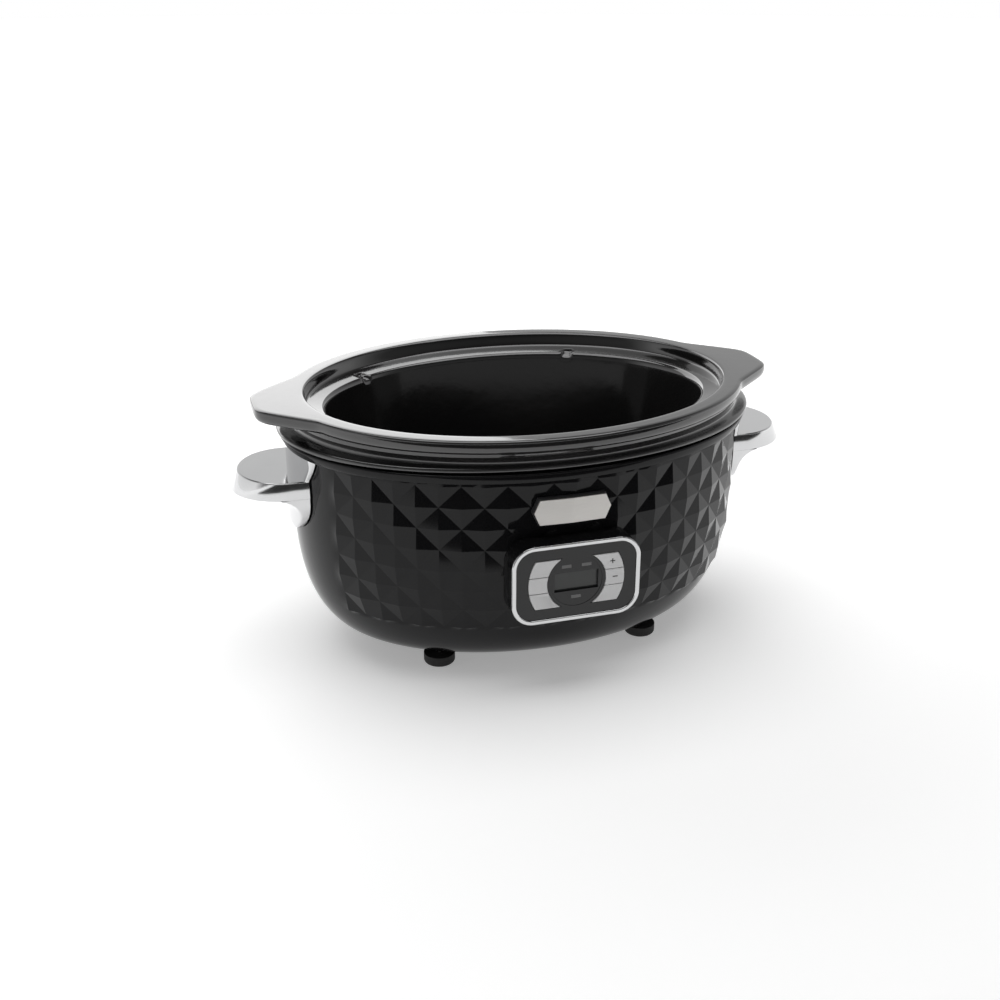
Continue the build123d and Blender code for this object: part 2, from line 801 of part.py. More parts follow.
with BuildPart() as panel_pod:
    add(pod_body.part)
    with BuildSketch(panel_plane(pod_front + 2)):
        RectangleRounded(2 * neck_half_width, 2 * neck_half_height, neck_corner)
    extrude(amount=-(pod_back - pod_front - 2))
    with BuildSketch(panel_plane(0)):
        RectangleRounded(
            2 * (neck_half_width - pod_wall + 0.5),
            2 * (neck_half_height - pod_wall + 0.5),
            neck_corner - pod_wall + 0.5,
        )
    extrude(amount=-(pod_back - pod_wall), mode=Mode.SUBTRACT)
    with BuildSketch(panel_plane(0)):
        RectangleRounded(2 * frame_inner_half_width, 2 * frame_inner_half_height, frame_inner_corner)
    extrude(amount=-face_back, mode=Mode.SUBTRACT)
    with BuildSketch(panel_plane(pod_back - pod_wall)):
        with GridLocations(2 * board_screw_x, 2 * board_screw_y, 2, 2):
            Circle(board_post_radius)
    extrude(amount=pod_back - pod_wall - board_front - board_thickness)
    with BuildSketch(panel_plane(pod_back - 1)):
        with GridLocations(2 * board_screw_x, 2 * board_screw_y, 2, 2):
            Circle(small_screw_radius)
    extrude(amount=pod_back, mode=Mode.SUBTRACT)
    with BuildSketch(panel_plane(pod_back + 2)):
        with Locations((ribbon_x + ribbon_width / 2, -10)):
            Rectangle(ribbon_width + 4, 4)
    extrude(amount=6, mode=Mode.SUBTRACT)
panel_pod.part.label = "panel_pod"
export_step(panel_pod.part, "parts/panel_pod.step")

with BuildPart() as panel_frame:
    with BuildSketch(panel_plane(frame_depth)):
        RectangleRounded(2 * panel_half_width, 2 * panel_half_height, panel_corner)
        RectangleRounded(
            2 * frame_inner_half_width, 2 * frame_inner_half_height, frame_inner_corner,
            mode=Mode.SUBTRACT,
        )
    extrude(amount=frame_depth)
    chamfer(panel_frame.edges().group_by(Axis.Y)[0], length=0.5)
panel_frame.part.label = "panel_frame"
export_step(panel_frame.part, "parts/panel_frame.step")


def button_group(side, grow):
    """The outline of one column of buttons, grown by a clearance."""
    with BuildSketch(mode=Mode.PRIVATE) as group:
        Circle(button_outer_radius + grow)
        Circle(button_inner_radius - grow, mode=Mode.SUBTRACT)
        with Locations((side * button_outer_radius / 2, 0)):
            Rectangle(button_outer_radius + 2 * grow, 2 * (button_half_height + grow),
                      mode=Mode.INTERSECT)
    return group.sketch


with BuildPart() as panel_face:
    with BuildSketch(panel_plane(face_back)):
        RectangleRounded(2 * face_half_width, 2 * face_half_height, frame_inner_corner - face_gap)
        Circle(window_radius + 0.1, mode=Mode.SUBTRACT)
        add(button_group(-1, clearance), mode=Mode.SUBTRACT)
        add(button_group(1, clearance), mode=Mode.SUBTRACT)
    extrude(amount=face_thickness)
panel_face.part.label = "panel_face"
export_step(panel_face.part, "parts/panel_face.step")

with BuildPart() as display_bezel:
    with BuildSketch(panel_plane(face_back)):
        Circle(window_radius)
        Rectangle(display_width, display_height, mode=Mode.SUBTRACT)
        with Locations(lamp_places):
            Rectangle(lamp_width + 0.1, lamp_height + 0.1, mode=Mode.SUBTRACT)
    extrude(amount=face_thickness - 0.3)
display_bezel.part.label = "display_bezel"
export_step(display_bezel.part, "parts/display_bezel.step")

with BuildPart() as lcd_module:
    with BuildSketch(panel_plane(board_front)):
        Rectangle(display_width + 3, display_height + 3)
    extrude(amount=board_front - face_back - 0.3)
lcd_module.part.label = "lcd_module"
export_step(lcd_module.part, "parts/lcd_module.step")

with BuildPart() as indicator_lights:
    with BuildSketch(panel_plane(board_front)):
        with Locations(lamp_places):
            Rectangle(lamp_width, lamp_height)
    extrude(amount=board_front - face_front - 0.4)
indicator_lights.part.label = "indicator_lights"
export_step(indicator_lights.part, "parts/indicator_lights.step")

# Each button is a cap in the face's opening, a wider collar that holds it behind the
# face, and a stem that stops short of the rubber keypad by its travel.
button_rows = {
    "top": ((button_half_height + button_split / 2) / 2, button_half_height - button_split / 2),
    "middle": (0.0, button_split),
    "bottom": (-(button_half_height + button_split / 2) / 2, button_half_height - button_split / 2),
}
button_names = {
    "power": (-1, "top"),
    "mode": (-1, "middle"),
    "delay": (-1, "bottom"),
    "plus": (1, "top"),
    "minus": (1, "middle"),
    "enter": (1, "bottom"),
}
cap_front = face_front - button_proud
collar_front = face_back + clearance
stem_back = board_front - keypad_thickness - keypad_dome - clearance - button_travel
stem_radius = (button_inner_radius + button_outer_radius) / 2
button_stems = {}
for button_name, (side, row) in button_names.items():
    row_centre, row_height = button_rows[row]
    cap = button_group(side, 0.0)
    collar = button_group(side, button_collar)
    stem_x = side * math.sqrt(stem_radius**2 - row_centre**2)
    button_stems[button_name] = (stem_x, row_centre)
    with BuildPart() as button:
        with BuildSketch(panel_plane(collar_front)):
            add(cap)
            with Locations((0, row_centre)):
                Rectangle(4 * button_outer_radius, row_height - button_gap, mode=Mode.INTERSECT)
        extrude(amount=collar_front - cap_front)
        with BuildSketch(panel_plane(collar_front + button_collar_thickness)):
            add(collar)
            with Locations((0, row_centre)):
                Rectangle(4 * button_outer_radius, row_height - button_gap, mode=Mode.INTERSECT)
        extrude(amount=button_collar_thickness)
        with BuildSketch(panel_plane(stem_back)):
            with Locations((stem_x, row_centre)):
                Circle(button_stem_radius)
        extrude(amount=stem_back - collar_front - button_collar_thickness)
    button.part.label = f"button_{button_name}"
    export_step(button.part, f"parts/button_{button_name}.step")

with BuildPart() as keypad_mat:
    with BuildSketch(panel_plane(board_front)):
        for side in (-1, 1):
            with Locations((side * stem_radius, 0)):
                RectangleRounded(12, 2 * button_half_height, 3)
    extrude(amount=keypad_thickness)
    with BuildSketch(panel_plane(board_front - keypad_thickness)):
        with Locations(list(button_stems.values())):
            Circle(button_stem_radius + 0.6)
    extrude(amount=keypad_dome, taper=20)
keypad_mat.part.label = "keypad_mat"
export_step(keypad_mat.part, "parts/keypad_mat.step")

with BuildPart() as display_board:
    with BuildSketch(panel_plane(board_front + board_thickness)):
        RectangleRounded(
            2 * (neck_half_width - pod_wall - 0.5),
            2 * (neck_half_height - pod_wall - 0.5),
            neck_corner - pod_wall - 0.5,
        )
        with GridLocations(2 * board_screw_x, 2 * board_screw_y, 2, 2):
            Circle(screw_radius, mode=Mode.SUBTRACT)
    extrude(amount=board_thickness)
display_board.part.label = "display_board"
export_step(display_board.part, "parts/display_board.step")

with BuildPart() as display_board_screws:
    with BuildSketch(panel_plane(board_front)):
        with GridLocations(2 * board_screw_x, 2 * board_screw_y, 2, 2):
            Circle(small_screw_head)
    extrude(amount=1.4)
    with BuildSketch(panel_plane(board_front)):
        with GridLocations(2 * board_screw_x, 2 * board_screw_y, 2, 2):
            Circle(small_screw_radius)
    extrude(amount=-small_screw_length)
display_board_screws.part.label = "display_board_screws"
export_step(display_board_screws.part, "parts/display_board_screws.step")

controller_back = board_front + board_thickness
with BuildPart() as controller_chip:
    with BuildSketch(panel_plane(controller_back + 2.2)):
        with Locations((-14, 2)):
            Rectangle(14, 14)
    extrude(amount=2.2)
controller_chip.part.label = "controller_chip"
export_step(controller_chip.part, "parts/controller_chip.step")


# ---------------------------------------------------------------- badge
def badge_shape(grow, back, front):
    """A long hexagon folded a little on its middle line, between two depths."""
    half_length = badge_half_length + grow
    flat = badge_flat_half_length + grow / 2
    half_height = badge_half_height + grow
    with BuildPart() as shape:
        with BuildSketch(front_plane(-back, badge_height)):
            Polygon(
                (-half_length, 0), (-flat, -half_height), (flat, -half_height),
                (half_length, 0), (flat, half_height), (-flat, half_height),
                align=None,
            )
        extrude(amount=front - back)
        with BuildSketch(Plane.XY.offset(badge_height - half_height - 1)):
            Polygon(
                (-half_length - 1, -front + badge_bend * 1.05), (0, -front),
                (half_length + 1, -front + badge_bend * 1.05), (half_length + 1, -front - 5),
                (-half_length - 1, -front - 5),
                align=None,
            )
        extrude(amount=2 * half_height + 2, mode=Mode.SUBTRACT)
    return shape.part


badge_back = body_half_width - 6.0
backing_front = body_half_width + badge_backing_thickness
badge_front = backing_front + badge_thickness
backing_solid = badge_shape(0.8, badge_back, backing_front)
badge_solid = badge_shape(0.0, badge_back, badge_front)
backing_cut = badge_shape(3.0, badge_back - 1, backing_front)
with BuildPart() as badge_column:
    with BuildSketch(Plane.XY.offset(badge_height - 15)):
        Ellipse(body_half_length + 0.1, body_half_width + 0.1)
    extrude(amount=30)

with BuildPart() as badge_backing:
    add(backing_solid)
    add(badge_column.part, mode=Mode.SUBTRACT)
    with BuildSketch(front_plane(-badge_back, badge_height)):
        with Locations((-badge_pin_x, 0), (badge_pin_x, 0)):
            Circle(badge_pin_radius + 0.1)
    extrude(amount=20, mode=Mode.SUBTRACT)
badge_backing.part.label = "badge_backing"
export_step(badge_backing.part, "parts/badge_backing.step")

badge_pin_end = body_half_width - shell_wall - 6.0
with BuildPart() as badge:
    add(badge_solid)
    add(backing_cut, mode=Mode.SUBTRACT)
    with BuildSketch(front_plane(-badge_pin_end, badge_height)):
        with Locations((-badge_pin_x, 0), (badge_pin_x, 0)):
            Circle(badge_pin_radius)
    extrude(amount=badge_front - badge_bend - 0.6 - badge_pin_end)
badge.part.label = "badge"
export_step(badge.part, "parts/badge.step")

badge_clip_front = y_on_oval(badge_pin_x + 4) - shell_wall - 0.6
with BuildPart() as badge_clips:
    with BuildSketch(front_plane(-badge_clip_front, badge_height)):
        with Locations((-badge_pin_x, 0), (badge_pin_x, 0)):
            Circle(4.0)
            Circle(badge_pin_radius, mode=Mode.SUBTRACT)
    extrude(amount=-1.2)
badge_clips.part.label = "badge_clips"
export_step(badge_clips.part, "parts/badge_clips.step")

# ---------------------------------------------------------------- cord gland
# The boot reaches as far behind the oval as the panel's frame stands before it, so the
# cooker's box is centred on the origin.
gland_inner = gland_face - gland_length
boot_length = panel_stand_off - gland_step - gland_flange
with BuildPart() as cord_gland:
    with BuildSketch(back_plane(gland_inner, gland_height)):
        Circle(gland_radius)
    extrude(amount=gland_length)
    with BuildSketch(back_plane(gland_face, gland_height)):
        Circle(gland_flange_radius)
    extrude(amount=gland_flange)
    fillet(cord_gland.edges().filter_by(GeomType.CIRCLE).sort_by(Axis.Y)[-1], radius=1.0)
    with BuildSketch(back_plane(gland_face + gland_flange, gland_height)):
        Circle(boot_radius)
    extrude(amount=boot_length, taper=boot_taper)
    with BuildSketch(back_plane(gland_inner, gland_height)):
        Circle(gland_bore_radius)
    extrude(amount=gland_length + gland_flange + boot_length, mode=Mode.SUBTRACT)
cord_gland.part.label = "cord_gland"
export_step(cord_gland.part, "parts/cord_gland.step")

with BuildPart() as gland_nut:
    with BuildSketch(back_plane(gland_inner + 0.5, gland_height)):
        RegularPolygon(gland_radius + 2.5, 6)
        Circle(gland_radius, mode=Mode.SUBTRACT)
    extrude(amount=3.2)
gland_nut.part.label = "gland_nut"
export_step(gland_nut.part, "parts/gland_nut.step")

# ---------------------------------------------------------------- power board and its parts
board_top = board_height + board_thickness
with BuildPart() as power_board:
    with BuildSketch(Plane.XY.offset(board_height)):
        with Locations((board_centre_x, 0)):
            Rectangle(board_length, board_width)
            with GridLocations(2 * board_hole_x, 2 * board_hole_y, 2, 2):
                Circle(screw_radius + 0.1, mode=Mode.SUBTRACT)
    extrude(amount=board_thickness)
power_board.part.label = "power_board"
export_step(power_board.part, "parts/power_board.step")

with BuildPart() as power_board_screws:
    with Locations((board_centre_x, 0, board_top)):
        with GridLocations(2 * board_hole_x, 2 * board_hole_y, 2, 2):
            Cylinder(screw_head_radius - 0.4, 2.0, align=LOW)
    with Locations((board_centre_x, 0, board_top)):
        with GridLocations(2 * board_hole_x, 2 * board_hole_y, 2, 2):
            Cylinder(screw_radius, 9, align=HIGH)
power_board_screws.part.label = "power_board_screws"
export_step(power_board_screws.part, "parts/power_board_screws.step")


def board_block(name, x, y, length, width, height, corner=0.6):
    """A moulded component that stands on the power board."""
    with BuildPart() as block:
        with Locations((board_centre_x + x, y, board_top)):
            Box(length, width, height, align=LOW)
        fillet(block.edges().filter_by(Axis.Z), radius=corner)
    block.part.label = name
    export_step(block.part, f"parts/{name}.step")


board_block("relay", -26, 12, 19, 15.5, 12)
board_block("transformer", 4, 10, 24, 20, 12.5)
board_block("terminal_block", 8, -20, 26, 10, 9)

with BuildPart() as capacitor:
    with Locations((board_centre_x + 28, 8, board_top)):
        Cylinder(5, 12, align=LOW)
    fillet(capacitor.edges().filter_by(GeomType.CIRCLE).sort_by(Axis.Z)[-1], radius=0.6)
capacitor.part.label = "capacitor"
export_step(capacitor.part, "parts/capacitor.step")

# ---------------------------------------------------------------- sensor and fuse under the well
sensor_x = -42.0
sensor_radius = 8.0
sensor_thickness = 3.0
fuse_y = 24.0
fuse_radius = 2.0
fuse_lead_radius = 0.6
with BuildPart() as temperature_sensor:
    with Locations((sensor_x, 0, well_bottom)):
        Cylinder(sensor_radius, sensor_thickness, align=HIGH)
temperature_sensor.part.label = "temperature_sensor"
export_step(temperature_sensor.part, "parts/temperature_sensor.step")

with BuildPart() as sensor_clip:
    with Locations((sensor_x, 0, well_bottom)):
        Box(36, 10, sensor_thickness + 0.8, align=HIGH)
        Box(2 * sensor_radius + 3, 12, sensor_thickness, align=HIGH, mode=Mode.SUBTRACT)
sensor_clip.part.label = "sensor_clip"
export_step(sensor_clip.part, "parts/sensor_clip.step")

with BuildPart() as thermal_fuse:
    with BuildSketch(Plane.YZ.offset(sensor_x - 6)):
        with Locations((fuse_y, well_bottom - fuse_radius - 0.2)):
            Circle(fuse_radius)
    extrude(amount=12)
    with BuildSketch(Plane.YZ.offset(sensor_x - 14)):
        with Locations((fuse_y, well_bottom - fuse_radius - 0.2)):
            Circle(fuse_lead_radius)
    extrude(amount=28)
thermal_fuse.part.label = "thermal_fuse"
export_step(thermal_fuse.part, "parts/thermal_fuse.step")

# ---------------------------------------------------------------- wiring
ribbon_y = -(body_half_width + panel_stand_off - pod_back)
with BuildPart() as ribbon_cable:
    with BuildSketch(Plane.YZ.offset(ribbon_x)):
        with BuildLine():
            FilletPolyline(
                (ribbon_y - 9, panel_height - 10),
                (ribbon_y + 4, panel_height - 10),
                (ribbon_y + 5, 62),
                (ribbon_y + 20, 34),
                (-board_width / 2 - 12, board_top + 5),
                (-board_width / 2 + 10, board_top + 5),
                radius=5,
            )
        trace(line_width=1.2)
    extrude(amount=ribbon_width)
ribbon_cable.part.label = "ribbon_cable"
export_step(ribbon_cable.part, "parts/ribbon_cable.step")

lead_radius = 1.2
heater_low_y = rim_half_width - well_inset(heater_bottom, well_out) + lead_radius + 0.3
with BuildPart() as heater_leads:
    for x in (-4, 4):
        with BuildLine() as lead_path:
            FilletPolyline(
                (x, -heater_low_y, heater_bottom - 0.1),
                (x, -heater_low_y, well_bottom + 2),
                (x, -heater_low_y + 22, well_bottom - 12),
                (board_centre_x + x + 8, -board_width / 2 - 12, board_top + 3),
                (board_centre_x + x + 8, -board_width / 2 + 4.6, board_top + 3),
                radius=4,
            )
        with BuildSketch(Plane(origin=lead_path.line @ 0, z_dir=lead_path.line % 0)):
            Circle(lead_radius)
        sweep(path=lead_path.line)
heater_leads.part.label = "heater_leads"
export_step(heater_leads.part, "parts/heater_leads.step")

with BuildPart() as mains_leads:
    for shift in (-2.0, 2.0):
        with BuildLine() as mains_path:
            FilletPolyline(
                (shift, gland_inner - 1.5, gland_height),
                (shift, gland_inner - 8 - shift, gland_height),
                (shift, gland_inner - 10 - shift, well_bottom - 2.5),
                (shift + 10, board_width / 2 + 26 - shift, board_top + 7),
                (board_centre_x + shift, board_width / 2 + 10 - shift, board_top + 4),
                (board_centre_x + shift, board_width / 2 - 9, board_top + 4),
                radius=4,
            )
        with BuildSketch(Plane(origin=mains_path.line @ 0, z_dir=mains_path.line % 0)):
            Circle(lead_radius)
        sweep(path=mains_path.line)
mains_leads.part.label = "mains_leads"
export_step(mains_leads.part, "parts/mains_leads.step")

print("rim top", round(rim_top, 2), "pot bottom", round(pot_bottom, 2), "well", round(well_bottom, 2))
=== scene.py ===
# %% [markdown]
# # An oval slow cooker
# The cooker stands open on a pale table: a black outer shell pressed into small
# pyramids front and back, a glazed stoneware crock that lifts out, two chrome handles
# and a framed panel of keys. The engineering model comes first and never moves. This
# lesson dresses it: pieces whose curves matter are modelled again, finer, in the same
# places, and every other piece keeps its shape and gets a finish.

# %% Load the engineering model
import json
import math

import bmesh
import bpy
import numpy as np
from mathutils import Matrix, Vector


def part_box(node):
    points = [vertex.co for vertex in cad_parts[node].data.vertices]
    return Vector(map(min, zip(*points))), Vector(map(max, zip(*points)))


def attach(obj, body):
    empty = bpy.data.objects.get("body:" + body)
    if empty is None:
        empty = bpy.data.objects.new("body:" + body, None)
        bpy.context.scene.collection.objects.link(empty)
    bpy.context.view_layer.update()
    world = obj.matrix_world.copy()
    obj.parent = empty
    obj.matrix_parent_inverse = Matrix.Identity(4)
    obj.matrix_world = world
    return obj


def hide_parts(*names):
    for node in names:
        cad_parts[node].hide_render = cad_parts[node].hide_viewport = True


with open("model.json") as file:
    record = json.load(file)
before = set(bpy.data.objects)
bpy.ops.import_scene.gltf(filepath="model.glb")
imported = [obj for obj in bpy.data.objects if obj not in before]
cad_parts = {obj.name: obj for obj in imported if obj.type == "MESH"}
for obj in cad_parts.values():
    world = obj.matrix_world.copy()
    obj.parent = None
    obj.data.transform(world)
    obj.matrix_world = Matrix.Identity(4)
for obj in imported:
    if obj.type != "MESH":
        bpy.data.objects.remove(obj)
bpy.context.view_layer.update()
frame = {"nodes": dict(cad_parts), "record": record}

MM = 0.001
nodes = frame["nodes"]

# %% [markdown]
# ## Shader sums as plain arithmetic
# A finish is a few patterns added, scaled and mixed. Wiring every sum by hand hides
# the idea, so a small class wraps a socket and lets Python's own signs do the wiring.
# A pattern that is stretched along one way gives brushing; a round one gives speckle.

# %% A socket that can be added and multiplied
class Pattern:
    """A value in a material. Each arithmetic sign adds one Math node."""

    def __init__(self, finish, socket):
        self.finish = finish
        self.socket = socket

    def sum(self, operation, first, second):
        made = self.finish.node(
            "ShaderNodeMath", {"operation": operation}, {0: first, 1: second}
        )
        return Pattern(self.finish, made.outputs[0])

    def __add__(self, other):
        return self.sum("ADD", self, other)

    def __radd__(self, other):
        return self.sum("ADD", other, self)

    def __mul__(self, other):
        return self.sum("MULTIPLY", self, other)


# %% Nodes and their links
class Wiring:
    """A tree of shader nodes: a material's or the world's."""

    def __init__(self, tree):
        self.tree = tree

    def node(self, kind, settings, sockets):
        """Adds one node: its settings first, then the values or links of its sockets."""
        made = self.tree.nodes.new(kind)
        for key, value in settings.items():
            if key == "stops":
                ramp = made.color_ramp.elements
                while len(ramp) < len(value):
                    ramp.new(0.5)
                for stop, (place, colour) in zip(ramp, value):
                    stop.position = place
                    stop.color = colour
            else:
                setattr(made, key, value)
        for key, value in sockets.items():
            self.feed(made.inputs[key], value)
        return made

    def feed(self, socket, value):
        """Links a pattern or another node's socket, or sets a plain value."""
        if isinstance(value, Pattern):
            self.tree.links.new(value.socket, socket)
        elif isinstance(value, bpy.types.NodeSocket):
            self.tree.links.new(value, socket)
        else:
            socket.default_value = value

    def mix(self, share, first, second):
        """A colour between two, by a pattern."""
        made = self.node(
            "ShaderNodeMix", {"data_type": "RGBA"}, {0: share, 6: first, 7: second}
        )
        return made.outputs[2]


# %% A finish under construction
class Finish(Wiring):
    """A material whose surface shader is a Principled BSDF."""

    def __init__(self, name):
        self.material = bpy.data.materials.new(name)
        self.material.use_nodes = True
        super().__init__(self.material.node_tree)
        self.surface = self.tree.nodes["Principled BSDF"]

    def place(self, stretch=(1.0, 1.0, 1.0)):
        """Positions on the piece, in metres, stretched for patterns with a direction."""
        coordinates = self.node("ShaderNodeTexCoord", {}, {})
        mapping = self.node(
            "ShaderNodeMapping", {},
            {"Vector": coordinates.outputs["Object"], "Scale": stretch},
        )
        return mapping.outputs["Vector"]

    def noise(self, scale, detail=3.0, stretch=(1.0, 1.0, 1.0)):
        """Soft random patches, this many to the metre, between 0 and 1."""
        made = self.node(
            "ShaderNodeTexNoise", {},
            {
                "Vector": self.place(stretch),
                "Scale": scale,
                "Detail": detail,
                "Roughness": 0.55,
            },
        )
        return Pattern(self, made.outputs["Fac"])

    def bump(self, height, depth):
        """Raises the surface by height, a pattern, times depth in metres."""
        made = self.node("ShaderNodeBump", {}, {"Height": height, "Distance": depth})
        self.feed(self.surface.inputs["Normal"], made.outputs["Normal"])

    def set(self, **values):
        """Sets or links the Principled shader's own sockets; _ stands for a space."""
        for key, value in values.items():
            self.feed(self.surface.inputs[key.replace("_", " ")], value)
        return self


def rgb(red, green, blue):
    return (red, green, blue, 1.0)


# %% [markdown]
# ## Finishes
# Three finishes carry the look: the shell's polished black plastic, the crock's
# thicker, wavier glaze and the chrome. All three are mirrors, so what makes them
# differ is how roughness and small waves bend the reflected lights.

# %% Shell plastic, panel plastic and stoneware glaze
deep_black = rgb(0.0045, 0.0045, 0.005)
soft_black = rgb(0.007, 0.007, 0.0075)


def shell_plastic():
    """Injection-moulded black with a polish, a few finger marks and hardly any colour."""
    paint = Finish("shell_gloss_black")
    smears = paint.noise(22.0, 4.0)
    dust = paint.noise(900.0, 2.0)
    paint.set(
        Base_Color=paint.mix(smears, deep_black, soft_black),
        Roughness=0.045 + smears * 0.05 + dust * 0.02,
        Specular_IOR_Level=0.24,
    )
    paint.bump(paint.noise(60.0, 1.0), 0.00002)
    return paint.material


def panel_plastic():
    """The panel's gloss: the same black, flatter and cleaner than the shell."""
    paint = Finish("panel_gloss_black")
    film = paint.noise(45.0, 3.0)
    paint.set(
        Base_Color=paint.mix(film, deep_black, soft_black),
        Roughness=0.05 + film * 0.06,
    )
    paint.bump(paint.noise(1400.0, 1.0), 0.000002)
    return paint.material


def stoneware_glaze():
    """Black glaze: it pools and thins a little, so the mirror is never quite flat."""
    paint = Finish("stoneware_black_glaze")
    pooling = paint.noise(26.0, 3.0)
    pinholes = paint.noise(1600.0, 1.0)
    paint.set(
        Base_Color=paint.mix(pooling, soft_black, rgb(0.014, 0.0135, 0.013)),
        Roughness=0.05 + pooling * 0.07 + pinholes * 0.02,
        IOR=1.62,
        Specular_IOR_Level=0.6,
        Coat_Weight=0.35,
        Coat_Roughness=0.04,
    )
    paint.bump(paint.noise(95.0, 2.0) + pinholes * 0.04, 0.00005)
    return paint.material


# %% Metals
def chrome():
    """Plated metal. Smears of handling break the mirror up a little."""
    paint = Finish("chrome_plate")
    smears = paint.noise(30.0, 5.0)
    streaks = paint.noise(240.0, 2.0, (1.0, 0.15, 1.0))
    paint.set(
        Base_Color=paint.mix(smears, rgb(0.63, 0.635, 0.64), rgb(0.70, 0.70, 0.705)),
        Metallic=1.0,
        Roughness=0.05 + smears * 0.07 + streaks * 0.02,
    )
    paint.bump(paint.noise(50.0, 1.0), 0.00003)
    return paint.material


def brushed_metal(name, dark, light, roughness, stretch, lines=2600.0, depth=0.000012):
    """Metal with fine lines along one way: stretch is small along that way."""
    paint = Finish(name)
    brushing = paint.noise(lines, 2.0, stretch)
    clouds = paint.noise(18.0, 3.0)
    paint.set(
        Base_Color=paint.mix(brushing * 0.6 + clouds * 0.4, rgb(*dark), rgb(*light)),
        Metallic=1.0,
        Roughness=roughness + brushing * 0.12 + clouds * 0.05,
    )
    paint.bump(brushing, depth)
    return paint.material


# %% Plain moulded and sheet materials
def moulded(
    name, dark, light, roughness, grain=1800.0, depth=0.00001, metallic=0.0, coat=0.0
):
    """A fine-grained material: two near colours in patches, and a grain to the touch."""
    paint = Finish(name)
    patches = paint.noise(35.0, 3.0)
    speckle = paint.noise(grain, 2.0)
    paint.set(
        Base_Color=paint.mix(patches * 0.5 + speckle * 0.5, rgb(*dark), rgb(*light)),
        Metallic=metallic,
        Roughness=roughness + patches * 0.08 + speckle * 0.08,
        Coat_Weight=coat,
    )
    paint.bump(speckle, depth)
    return paint.material


# %% One finish for each slot of the record
along_x, upright, all_round = (0.02, 1.0, 1.0), (1.0, 1.0, 0.05), (1.0, 1.0, 1.0)
finishes = {
    "black_shell": shell_plastic(),
    "panel_gloss": panel_plastic(),
    "black_stoneware": stoneware_glaze(),
    "chrome_trim": chrome(),
    "satin_metal": brushed_metal(
        "badge_satin", (0.72, 0.70, 0.67), (0.86, 0.84, 0.81), 0.3, along_x
    ),
    "steel_sheet": brushed_metal(
        "sheet_steel", (0.42, 0.43, 0.44), (0.58, 0.59, 0.6), 0.3, upright
    ),
    "screw_steel": brushed_metal(
        "zinc_screw", (0.5, 0.5, 0.48), (0.66, 0.66, 0.64), 0.28, all_round, 900.0
    ),
    "well_aluminium": brushed_metal(
        "drawn_aluminium", (0.55, 0.56, 0.57), (0.72, 0.73, 0.74), 0.32,
        (0.05, 0.05, 1.0), 1500.0,
    ),
    "heater_mica": moulded(
        "heater_sheath", (0.32, 0.29, 0.24), (0.46, 0.42, 0.36), 0.5, 700.0, 0.00003, 0.6
    ),
    "black_base": moulded(
        "base_matte_black", (0.012, 0.012, 0.013), (0.025, 0.025, 0.026), 0.5
    ),
    "foot_rubber": moulded(
        "foot_rubber", (0.012, 0.012, 0.012), (0.028, 0.027, 0.027), 0.62, 2400.0, 0.00003
    ),
    "gasket_black": moulded(
        "gasket_rubber", (0.01, 0.01, 0.01), (0.02, 0.02, 0.02), 0.6, 2400.0, 0.00002
    ),
    "silicone": moulded("keypad_silicone", (0.27, 0.28, 0.29), (0.34, 0.35, 0.36), 0.5),
    "button_silver": moulded(
        "key_silver", (0.60, 0.60, 0.60), (0.66, 0.66, 0.665), 0.34,
        3200.0, 0.000004, 0.15, 0.15,
    ),
    "display_lens": moulded(
        "display_grey", (0.028, 0.03, 0.029), (0.036, 0.038, 0.037), 0.12, 4000.0, 0.000001
    ),
    "lamp_clear": moulded(
        "lamp_window", (0.10, 0.10, 0.10), (0.16, 0.16, 0.16), 0.3, 3000.0, 0.000002
    ),
    "board_green": moulded(
        "circuit_board", (0.01, 0.08, 0.035), (0.02, 0.13, 0.055), 0.35, 800.0
    ),
    "part_black": moulded(
        "component_black", (0.012, 0.012, 0.012), (0.022, 0.022, 0.022), 0.45
    ),
    "part_blue": moulded("component_blue", (0.015, 0.05, 0.19), (0.03, 0.075, 0.26), 0.35),
    "copper_winding": brushed_metal(
        "copper_winding", (0.36, 0.16, 0.07), (0.62, 0.3, 0.14), 0.3, (1.0, 1.0, 12.0)
    ),
    "wire_red": moulded("lead_sleeve_red", (0.22, 0.012, 0.012), (0.34, 0.02, 0.02), 0.5),
    "wire_grey": moulded("lead_sleeve_grey", (0.16, 0.16, 0.16), (0.24, 0.24, 0.24), 0.5),
}
slot_of = {part["node"]: part["material_slot"] for part in frame["record"]["subparts"]}
print("finishes:", len(finishes), "slots in use:", len(set(slot_of.values())))

# %% [markdown]
# ## Dressing the engineering pieces
# Every piece of the engineering model first gets the finish of its slot. Where small
# rounded edges matter, a copy is made: its loose triangles are merged into one skin,
# flat areas become single faces again, and a bevel rounds what is sharp. The copy
# then stands for the original.

# %% Finish every node
for name, node in nodes.items():
    node.data.materials.clear()
    node.data.materials.append(finishes[slot_of[name]])


# %% Helpers that turn a mesh into a riding piece
def body_of_node(name):
    """The body that the record gives a node."""
    for body, members in frame["record"]["behaviour"]["bodies"].items():
        if name in members:
            return body


def make_object(name, bm, material):
    """An object at the origin with the bmesh's shape and one material."""
    mesh = bpy.data.meshes.new(name)
    bm.to_mesh(mesh)
    bm.free()
    mesh.materials.append(material)
    made = bpy.data.objects.new(name, mesh)
    bpy.context.scene.collection.objects.link(made)
    return made


